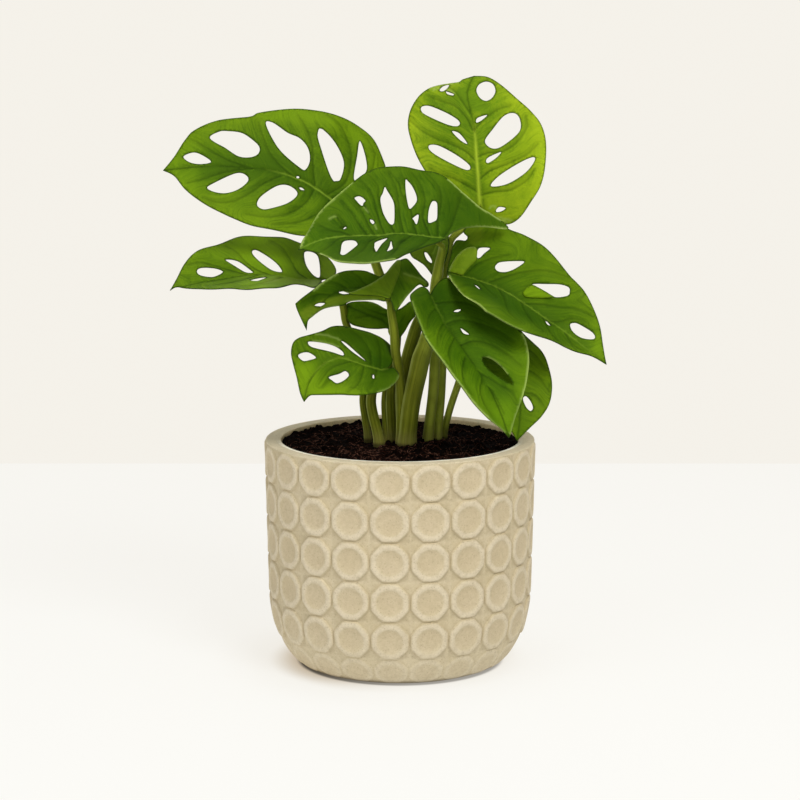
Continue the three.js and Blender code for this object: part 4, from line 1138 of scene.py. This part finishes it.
def petiole_piece(name, leaf, blade, material):
    """A petiole from its hole in the soil, running on as the midrib under the blade."""
    root, radius, flat, via = (leaf["petiole"][key] for key in ("root", "radius", "flat", "via"))
    near, far = leaf["petiole"].get("join", (-PETIOLE_APPROACH, PETIOLE_APPROACH))
    keel = leaf["petiole"].get("keel", KEEL)
    end = radius[-1]
    under = -(leaf["petiole"].get("seat", PETIOLE_SEAT) + PETIOLE_SLANT * end)
    stops = [
        (*root, PETIOLE_END),
        (*root, (PETIOLE_END + SOIL_TOP) / 2),
        (*root, SOIL_TOP + 1),
        *[sighted(mark[:2], mark[2]) for mark in marks(via)],
        blade.point(near, 0, under - leaf["petiole"].get("drop", PETIOLE_APPROACH)),
        blade.point(far, 0, under),
    ]
    stalk = flowing(stops, TUBE_STEP)
    count = len(stalk)
    runs = np.linspace(far + KEEL_START, keel * blade.length, KEEL_STOPS)
    shares = np.linspace(0, 1, len(runs))
    rib_radii = end * KEEL_THIN * (1 - shares) + KEEL_TIP
    depths = rib_radii * KEEL_SUNK + RIB_DEPTH * (1 - shares) + KEEL_GAP
    sunk = blade.point(runs, blade.rib_at(runs), -depths)
    line = flowing([*stops, *sunk], TUBE_STEP)
    radii = np.interp(np.arange(len(line)), np.linspace(0, count, len(radius)), radius)
    reach = np.linalg.norm(line - stalk[-1], axis=1)
    past = np.arange(len(line)) > count
    thinning = [0, KEEL_NECK, keel * blade.length - KEEL_FADE]
    radii[past] = np.interp(reach[past], thinning, [end, end * KEEL_THIN, KEEL_LAST])
    radii *= 1 + FOOT_FLARE * bell(line[:, 2] - SOIL_TOP, FOOT_RISE)
    flats = np.where(past, 1, np.interp(reach, [0, SEAT_RUN], [1, flat]))
    mesh = bmesh.new()
    tube(mesh, line, radii, flats, ridges=PETIOLE_RIDGES)
    bmesh.ops.recalc_face_normals(mesh, faces=mesh.faces)
    return finished(mesh, "stalk_" + name, [material], ["petiole_" + name])


# ---- pot


def wall_radius(z):
    straight = WALL_RADIUS - WALL_TAPER * (1 - z / POT_HEIGHT)
    drop = held((CORNER_RISE - z) / CORNER_RISE)
    return straight - CORNER_RUN * (1 - math.sqrt(1 - drop * drop))


WALL_STEPS = 400
WALL_HEIGHTS = POT_HEIGHT * (1 - np.arange(WALL_STEPS + 1) / WALL_STEPS)
WALL_LINE = np.array([(wall_radius(z), z) for z in WALL_HEIGHTS])
WALL_RUNS = np.concatenate([[0], np.cumsum(np.linalg.norm(np.diff(WALL_LINE, axis=0), axis=1))])


def wall_point(distance, angle, relief):
    """A point of the wall, a distance down its line from the rim, raised square to it."""
    ends = [np.interp(distance + d, WALL_RUNS, WALL_LINE[:, k]) for d in (-0.5, 0.5) for k in (0, 1)]
    run = unit(np.array([ends[2] - ends[0], ends[3] - ends[1]]))
    radius = np.interp(distance, WALL_RUNS, WALL_LINE[:, 0]) - relief * run[1]
    z = np.interp(distance, WALL_RUNS, WALL_LINE[:, 1]) + relief * run[0]
    return Vector((radius * math.cos(angle), radius * math.sin(angle), z))


def ring_cell(mesh, layers):
    """One flat cell in the x-y plane, two by two: a ring with its dish, and the wall round it."""
    loops = []
    for number, (radius, relief) in enumerate([(1, 0.0), *RING_LOOPS]):
        last = number == len(RING_LOOPS)
        made = bmesh.ops.create_circle(mesh, cap_ends=last, segments=RING_SEGMENTS, radius=1)["verts"]
        flat = (1 - RING_ROUND) * held((radius - RING_FLAT) / RING_FLAT_RUN)
        for vert in made:
            x, y = abs(vert.co.x), abs(vert.co.y)
            eighth = math.atan2(min(x, y), max(x, y))
            side = 1 / math.cos(min(eighth, math.pi / 4 - eighth))
            out = 1 / max(x, y) if number == 0 else radius * (1 + flat * (side - 1))
            vert.co = (vert.co.x * out, vert.co.y * out, relief)
            vert[layers["crest"]] = held((relief - CREST_RELIEF) / CREST_RISE)
            vert[layers["dish"]] = held((DISH_RADIUS - radius) / DISH_RUN)
            # the outermost raised loop of a ring carries the painted crease shade
            vert[layers["crease"]] = 1.0 if number == 1 else 0.0
        loops.append(made)
    bridged(mesh, loops)


def extrude_ring(mesh, edges, radius, z):
    """Draws a round border on to a new radius and height, and gives back the new border."""
    grown = bmesh.ops.extrude_edge_only(mesh, edges=edges)["geom"]
    for vert in (g for g in grown if isinstance(g, bmesh.types.BMVert)):
        angle = math.atan2(vert.co.y, vert.co.x)
        vert.co = (radius * math.cos(angle), radius * math.sin(angle), z)
        for layer in mesh.verts.layers.float.values():
            vert[layer] = 0.0
    return [g for g in grown if isinstance(g, bmesh.types.BMEdge)]


def pot_piece(material):
    mesh = bmesh.new()
    layers = {key: mesh.verts.layers.float.new(key) for key in ("crest", "dish", "crease")}
    ring_cell(mesh, layers)
    cell = list(mesh.verts) + list(mesh.edges) + list(mesh.faces)
    for axis, count in ((0, RING_COLUMNS), (1, RING_ROWS + 1)):
        row = list(mesh.verts) + list(mesh.edges) + list(mesh.faces) if axis else cell
        for k in range(1, count):
            copy = bmesh.ops.duplicate(mesh, geom=row)["geom"]
            shift = Vector((0, 0, 0))
            shift[axis] = 2 * k
            verts = [part for part in copy if isinstance(part, bmesh.types.BMVert)]
            bmesh.ops.translate(mesh, vec=shift, verts=verts)
    bmesh.ops.remove_doubles(mesh, verts=mesh.verts, dist=1e-3)

    # From the flat sheet of cells, two wide and two high each, to the wall.
    first = POT_HEIGHT - RING_FIRST_CENTRE
    firsts = first + RING_PITCH / 2
    step = 2 * math.pi / RING_COLUMNS
    for vert in mesh.verts:
        row = min(int((vert.co.y + 1) / 2 + 1e-6), RING_ROWS)
        share = vert.co.y - 2 * row
        relief = vert.co.z
        if row == 0:
            distance = first + share * (first - RING_TOP if share < 0 else RING_PITCH / 2)
            relief = max(relief, TOP_BAND * held((-TOP_BAND_START - share) / TOP_BAND_RUN))
        elif row < RING_ROWS:
            distance = firsts + (row - 0.5 + share / 2) * RING_PITCH
        else:
            distance = firsts + (RING_ROWS - 1) * RING_PITCH + (1 + share) / 2 * RING_LAST_PITCH
            relief *= RING_FADE
        angle = RING_TURN + vert.co.x / 2 * step
        vert.co = wall_point(distance, angle, relief)
    bmesh.ops.remove_doubles(mesh, verts=mesh.verts, dist=1e-3)

    border = [edge for edge in mesh.edges if edge.is_boundary]
    top = [edge for edge in border if edge.verts[0].co.z > POT_HEIGHT / 2]
    foot = [edge for edge in border if edge.verts[0].co.z < POT_HEIGHT / 2]
    for radius, z in POT_RIM + POT_INSIDE:
        top = extrude_ring(mesh, top, radius, z)
    bmesh.ops.edgeloop_fill(mesh, edges=top)
    for radius, z in POT_FOOT:
        foot = extrude_ring(mesh, foot, radius, z)
    bmesh.ops.edgeloop_fill(mesh, edges=foot)
    bmesh.ops.recalc_face_normals(mesh, faces=mesh.faces)
    return finished(mesh, "planter", [material], ["pot"])


# ---- soil

SOIL_GRID = 150
SOIL_RADIUS = 58.8
SOIL_SIDE = (58.6, 104)  # radius and height where the soil's side starts
# How high the soil's humps, clods, grains and specks are, and how many go into a millimetre.
SOIL_HUMPS = (1.5, 0.035)
SOIL_CLODS = (2.2, 0.16)
SOIL_GRAINS = (1.3, 0.45)
SOIL_SPECKS = (0.5, 1.1)
SOIL_SINK = 1.4  # how far the whole top is let down, as clods and grains only rise
SOIL_BANK = 1.8  # how much higher it stands by the pot's wall, from where and over what run
SOIL_BANK_START = 50
SOIL_BANK_RUN = 9
MOUND_MIDDLE = 3
MOUND_REACH = 24
CRUMBS = 420
CRUMB_SMALL = (0.35, 0.8)
CRUMB_LARGE = (0.8, 1.7)
CRUMB_SMALL_SHARE = 0.75
CRUMB_LENGTHS = (0.8, 1.7)
CRUMB_HEIGHTS = (0.5, 1)
CRUMB_SEAT = 0.2
CRUMB_ROUGH = 0.7
CRUMB_REACH = 57  # how far out crumbs lie and fibres run, and how far out fibres start
FIBRE_START = 55
FIBRES = 520
FIBRE_RADII = (0.09, 0.24)
FIBRE_SIDES = 5
FIBRE_STEPS = (6, 11)
FIBRE_RISES = (0.1, 1.1)
FIBRE_LIFT = 0.12
FIBRE_CURL = 0.4  # how far a fibre turns at each step, steadily and by chance
FIBRE_WANDER = 0.25


def uneven(place, size, shift=(0, 0, 0)):
    """A smooth random height about zero."""
    height, turns = size
    return noise.noise(place * turns + Vector(shift)) * height


def soil_height(x, y):
    """Height of the soil's top at a place: broad humps, clods and small grains."""
    place = Vector((x, y, 0))
    broad = uneven(place, SOIL_HUMPS)
    clods = abs(uneven(place, SOIL_CLODS, (7, 3, 1)))
    grains = abs(uneven(place, SOIL_GRAINS, (1, 9, 5))) + uneven(place, SOIL_SPECKS)
    edge = held((math.hypot(x, y) - SOIL_BANK_START) / SOIL_BANK_RUN)
    mound = SOIL_MOUND * math.exp(-((math.hypot(x - MOUND_MIDDLE, y) / MOUND_REACH) ** 2))
    return SOIL_TOP + mound + broad + clods + grains - SOIL_SINK + SOIL_BANK * edge


def soil_piece(material):
    """The potting mix, from its rough top down to the floor of the pot."""
    mesh = bmesh.new()
    bmesh.ops.create_grid(mesh, x_segments=SOIL_GRID, y_segments=SOIL_GRID, size=1)
    for vert in mesh.verts:
        x, y = vert.co.x, vert.co.y
        x, y = x * math.sqrt(1 - y * y / 2), y * math.sqrt(1 - x * x / 2)
        x, y = x * SOIL_RADIUS, y * SOIL_RADIUS
        vert.co = (x, y, soil_height(x, y))
    border = [edge for edge in mesh.edges if edge.is_boundary]
    for radius, z in [SOIL_SIDE, *[(r - SOIL_GAP, h + SOIL_GAP) for r, h in POT_INSIDE]]:
        border = extrude_ring(mesh, border, radius, z)
    bmesh.ops.edgeloop_fill(mesh, edges=border)
    bmesh.ops.recalc_face_normals(mesh, faces=mesh.faces)
    return finished(mesh, "potting_mix", [material], ["soil"])


def crumb_piece(material):
    """Crumbs of bark and earth lying on the soil."""
    draw = random.Random(11)
    mesh = bmesh.new()
    for _ in range(CRUMBS):
        radius = CRUMB_REACH * math.sqrt(draw.random())
        angle = draw.uniform(0, 2 * math.pi)
        x, y = radius * math.cos(angle), radius * math.sin(angle)
        size = draw.uniform(*(CRUMB_SMALL if draw.random() < CRUMB_SMALL_SHARE else CRUMB_LARGE))
        turn = Matrix.Rotation(draw.uniform(0, 6.3), 4, (draw.random(), draw.random(), 1))
        length = size * draw.uniform(*CRUMB_LENGTHS)
        shape = Matrix.Diagonal((length, size, size * draw.uniform(*CRUMB_HEIGHTS), 1))
        centre = Vector((x, y, soil_height(x, y) + size * CRUMB_SEAT))
        matrix = Matrix.Translation(centre) @ turn @ shape
        made = bmesh.ops.create_icosphere(mesh, subdivisions=1, radius=1, matrix=matrix)["verts"]
        for vert in made:
            vert.co += (vert.co - centre) * noise.noise(vert.co * 2.3) * CRUMB_ROUGH
    return finished(mesh, "crumbs", [material], smooth=False)


def fibre_piece(material):
    """Coir fibres lying curled on the soil."""
    draw = random.Random(5)
    mesh = bmesh.new()
    for _ in range(FIBRES):
        radius = FIBRE_START * math.sqrt(draw.random())
        angle = draw.uniform(0, 2 * math.pi)
        heading = draw.uniform(0, 2 * math.pi)
        x, y = radius * math.cos(angle), radius * math.sin(angle)
        curl = draw.uniform(-FIBRE_CURL, FIBRE_CURL)
        rise = draw.uniform(*FIBRE_RISES)
        points = []
        for k in range(draw.randint(*FIBRE_STEPS)):
            if math.hypot(x, y) < CRUMB_REACH:
                points.append((x, y, soil_height(x, y) + FIBRE_LIFT + rise * math.sin(0.35 * k) ** 2))
            heading += curl + draw.uniform(-FIBRE_WANDER, FIBRE_WANDER)
            x, y = x + math.cos(heading), y + math.sin(heading)
        if len(points) > 3:
            radii = [draw.uniform(*FIBRE_RADII)] * len(points)
            tube(mesh, np.array(points), radii, [1] * len(points), FIBRE_SIDES)
    bmesh.ops.recalc_face_normals(mesh, faces=mesh.faces)
    return finished(mesh, "fibres", [material])


# ---- making it

# Copies of one leaf green: plain, a darker one for the leaves that lie in shade and a lighter, yellower one;
# besides the leaves' own tone, the darker is partly painted shade and the lighter partly painted light.
GREENS = {
    "plain": leaf_finish("leaf_green", (0.027, 0.075, 0.002), (0.058, 0.127, 0.003), (0.135, 0.235, 0.005)),
    "deep": leaf_finish("leaf_green_deep_and_shaded", (0.02, 0.06, 0.0015), (0.043, 0.108, 0.002), (0.105, 0.2, 0.004)),
    "fresh": leaf_finish("leaf_green_fresh_and_lit", (0.045, 0.11, 0.003), (0.105, 0.2, 0.005), (0.27, 0.37, 0.01)),
}
UNDERSIDE = under_finish()
EDGE = edge_finish()
STEM = stem_finish()

for leaf_name, drawing in LEAVES.items():
    blade = Blade(drawing)
    blade.piece(leaf_name, [GREENS[drawing["tone"]], UNDERSIDE, EDGE])
    petiole_piece(leaf_name, drawing, blade.surface, STEM)

pot_piece(ceramic_finish())
soil_piece(soil_finish("potting_mix", (0.0012, 0.0005, 0.0003), (0.011, 0.004, 0.0025)))
crumb_piece(soil_finish("bark_crumbs", (0.0015, 0.0006, 0.0004), (0.02, 0.008, 0.005)))
fibre_piece(soil_finish("coir_fibres", (0.02, 0.007, 0.004), (0.2, 0.1, 0.07)))

# ---- stage, light and camera

FLOOR_END = 0.5  # metres behind the pot, where the floor's white gives way to the wall's
STAGE_SIZE = 40.0  # half the width of a panel


def plain_finish(name, colour, glow):
    """A matt white that glows, with a painted soft brown shadow where the pot stands, heavier to
    the left, and a painted contact shadow round its foot.
    """
    paint = Paint(name, Roughness=0.9, Specular_IOR_Level=0, Emission_Strength=1)
    place = paint.place()
    radius = paint.from_middle(place)
    left = 1 - paint.part(place, 0).between(-0.055, 0.01) * 0.7
    # painted shadow of the pot: soft and brown, heavier to the left
    shade = (1 - radius.between(0.045, 0.1)) * 0.1 + (1 - radius.between(0.049, 0.068)) * left * 0.6
    glow = paint.blend(shade * left, glow, (0.34, 0.21, 0.06))
    # a painted dark contact shadow right round the pot's foot
    contact_shadow = (1 - radius.between(0.0502, 0.053)) * (left * 0.5 + 0.45)
    glow = paint.blend(contact_shadow, glow, (0.03, 0.02, 0.008))
    return paint.finish(Base_Color=colour, Emission_Color=glow)


def panel(name, matrix, material):
    mesh = bmesh.new()
    bmesh.ops.create_grid(mesh, x_segments=1, y_segments=1, size=STAGE_SIZE, matrix=matrix)
    linked(mesh, name, [material])


# The backdrop lies flat to well behind the pot before it rises, so it hides nothing from behind.
floor_place = Matrix.Translation((0, FLOOR_END - STAGE_SIZE, 0))
back_place = Matrix.Translation((0, FLOOR_END + STAGE_SIZE, 0))
wall_turn = Matrix.Rotation(math.pi / 2, 4, "X")
wall_place = Matrix.Translation((0, FLOOR_END + 2 * STAGE_SIZE, STAGE_SIZE)) @ wall_turn
floor_white = plain_finish("floor_white", (0.13, 0.15, 0.17), (0.829, 0.7985, 0.741))
wall_white = plain_finish("wall_white", (0, 0, 0), (0.913, 0.884, 0.82))
panel("floor", floor_place, floor_white)
panel("backdrop_low", back_place, wall_white)
panel("backdrop", wall_place, wall_white)


def softbox(name, place, aim, size, power, colour=(1, 1, 1)):
    light = bpy.data.lights.new(name, "AREA")
    light.shape = "DISK"
    light.size = size
    light.energy = power
    light.color = colour
    lamp = bpy.data.objects.new(name, light)
    lamp.location = place
    lamp.rotation_mode = "QUATERNION"
    lamp.rotation_quaternion = (Vector(aim) - Vector(place)).to_track_quat("-Z", "Y")
    bpy.context.scene.collection.objects.link(lamp)


softbox("key", place=(0.55, -0.95, 1.2), aim=(0, 0, 0.12), size=0.7, power=15, colour=(1, 0.98, 0.94))
softbox("fill", place=(-1.1, -1.0, 0.7), aim=(0, 0, 0.1), size=1.4, power=8.2)
softbox("top", place=(0, 0.05, 1.5), aim=(0, 0, 0), size=1.0, power=4)

world = bpy.data.worlds.new("studio")
world.use_nodes = True
around = world.node_tree.nodes["Background"].inputs
around["Color"].default_value = (1, 0.99, 0.97, 1)
around["Strength"].default_value = 0.35
bpy.context.scene.world = world
bpy.context.scene.view_settings.view_transform = "Standard"

SENSOR = 36  # width of the camera's sensor in millimetres
lens = bpy.data.cameras.new("eye")
lens.sensor_width = SENSOR
lens.lens = EYE_REACH / SHEET_WIDTH * SENSOR
lens.clip_start = 0.05
camera = bpy.data.objects.new("eye", lens)
camera.location = (0, -EYE_DISTANCE * METRES, EYE_HEIGHT * METRES)
camera.rotation_euler = (math.pi / 2 - EYE_PITCH, 0, 0)
bpy.context.scene.collection.objects.link(camera)
bpy.context.scene.camera = camera
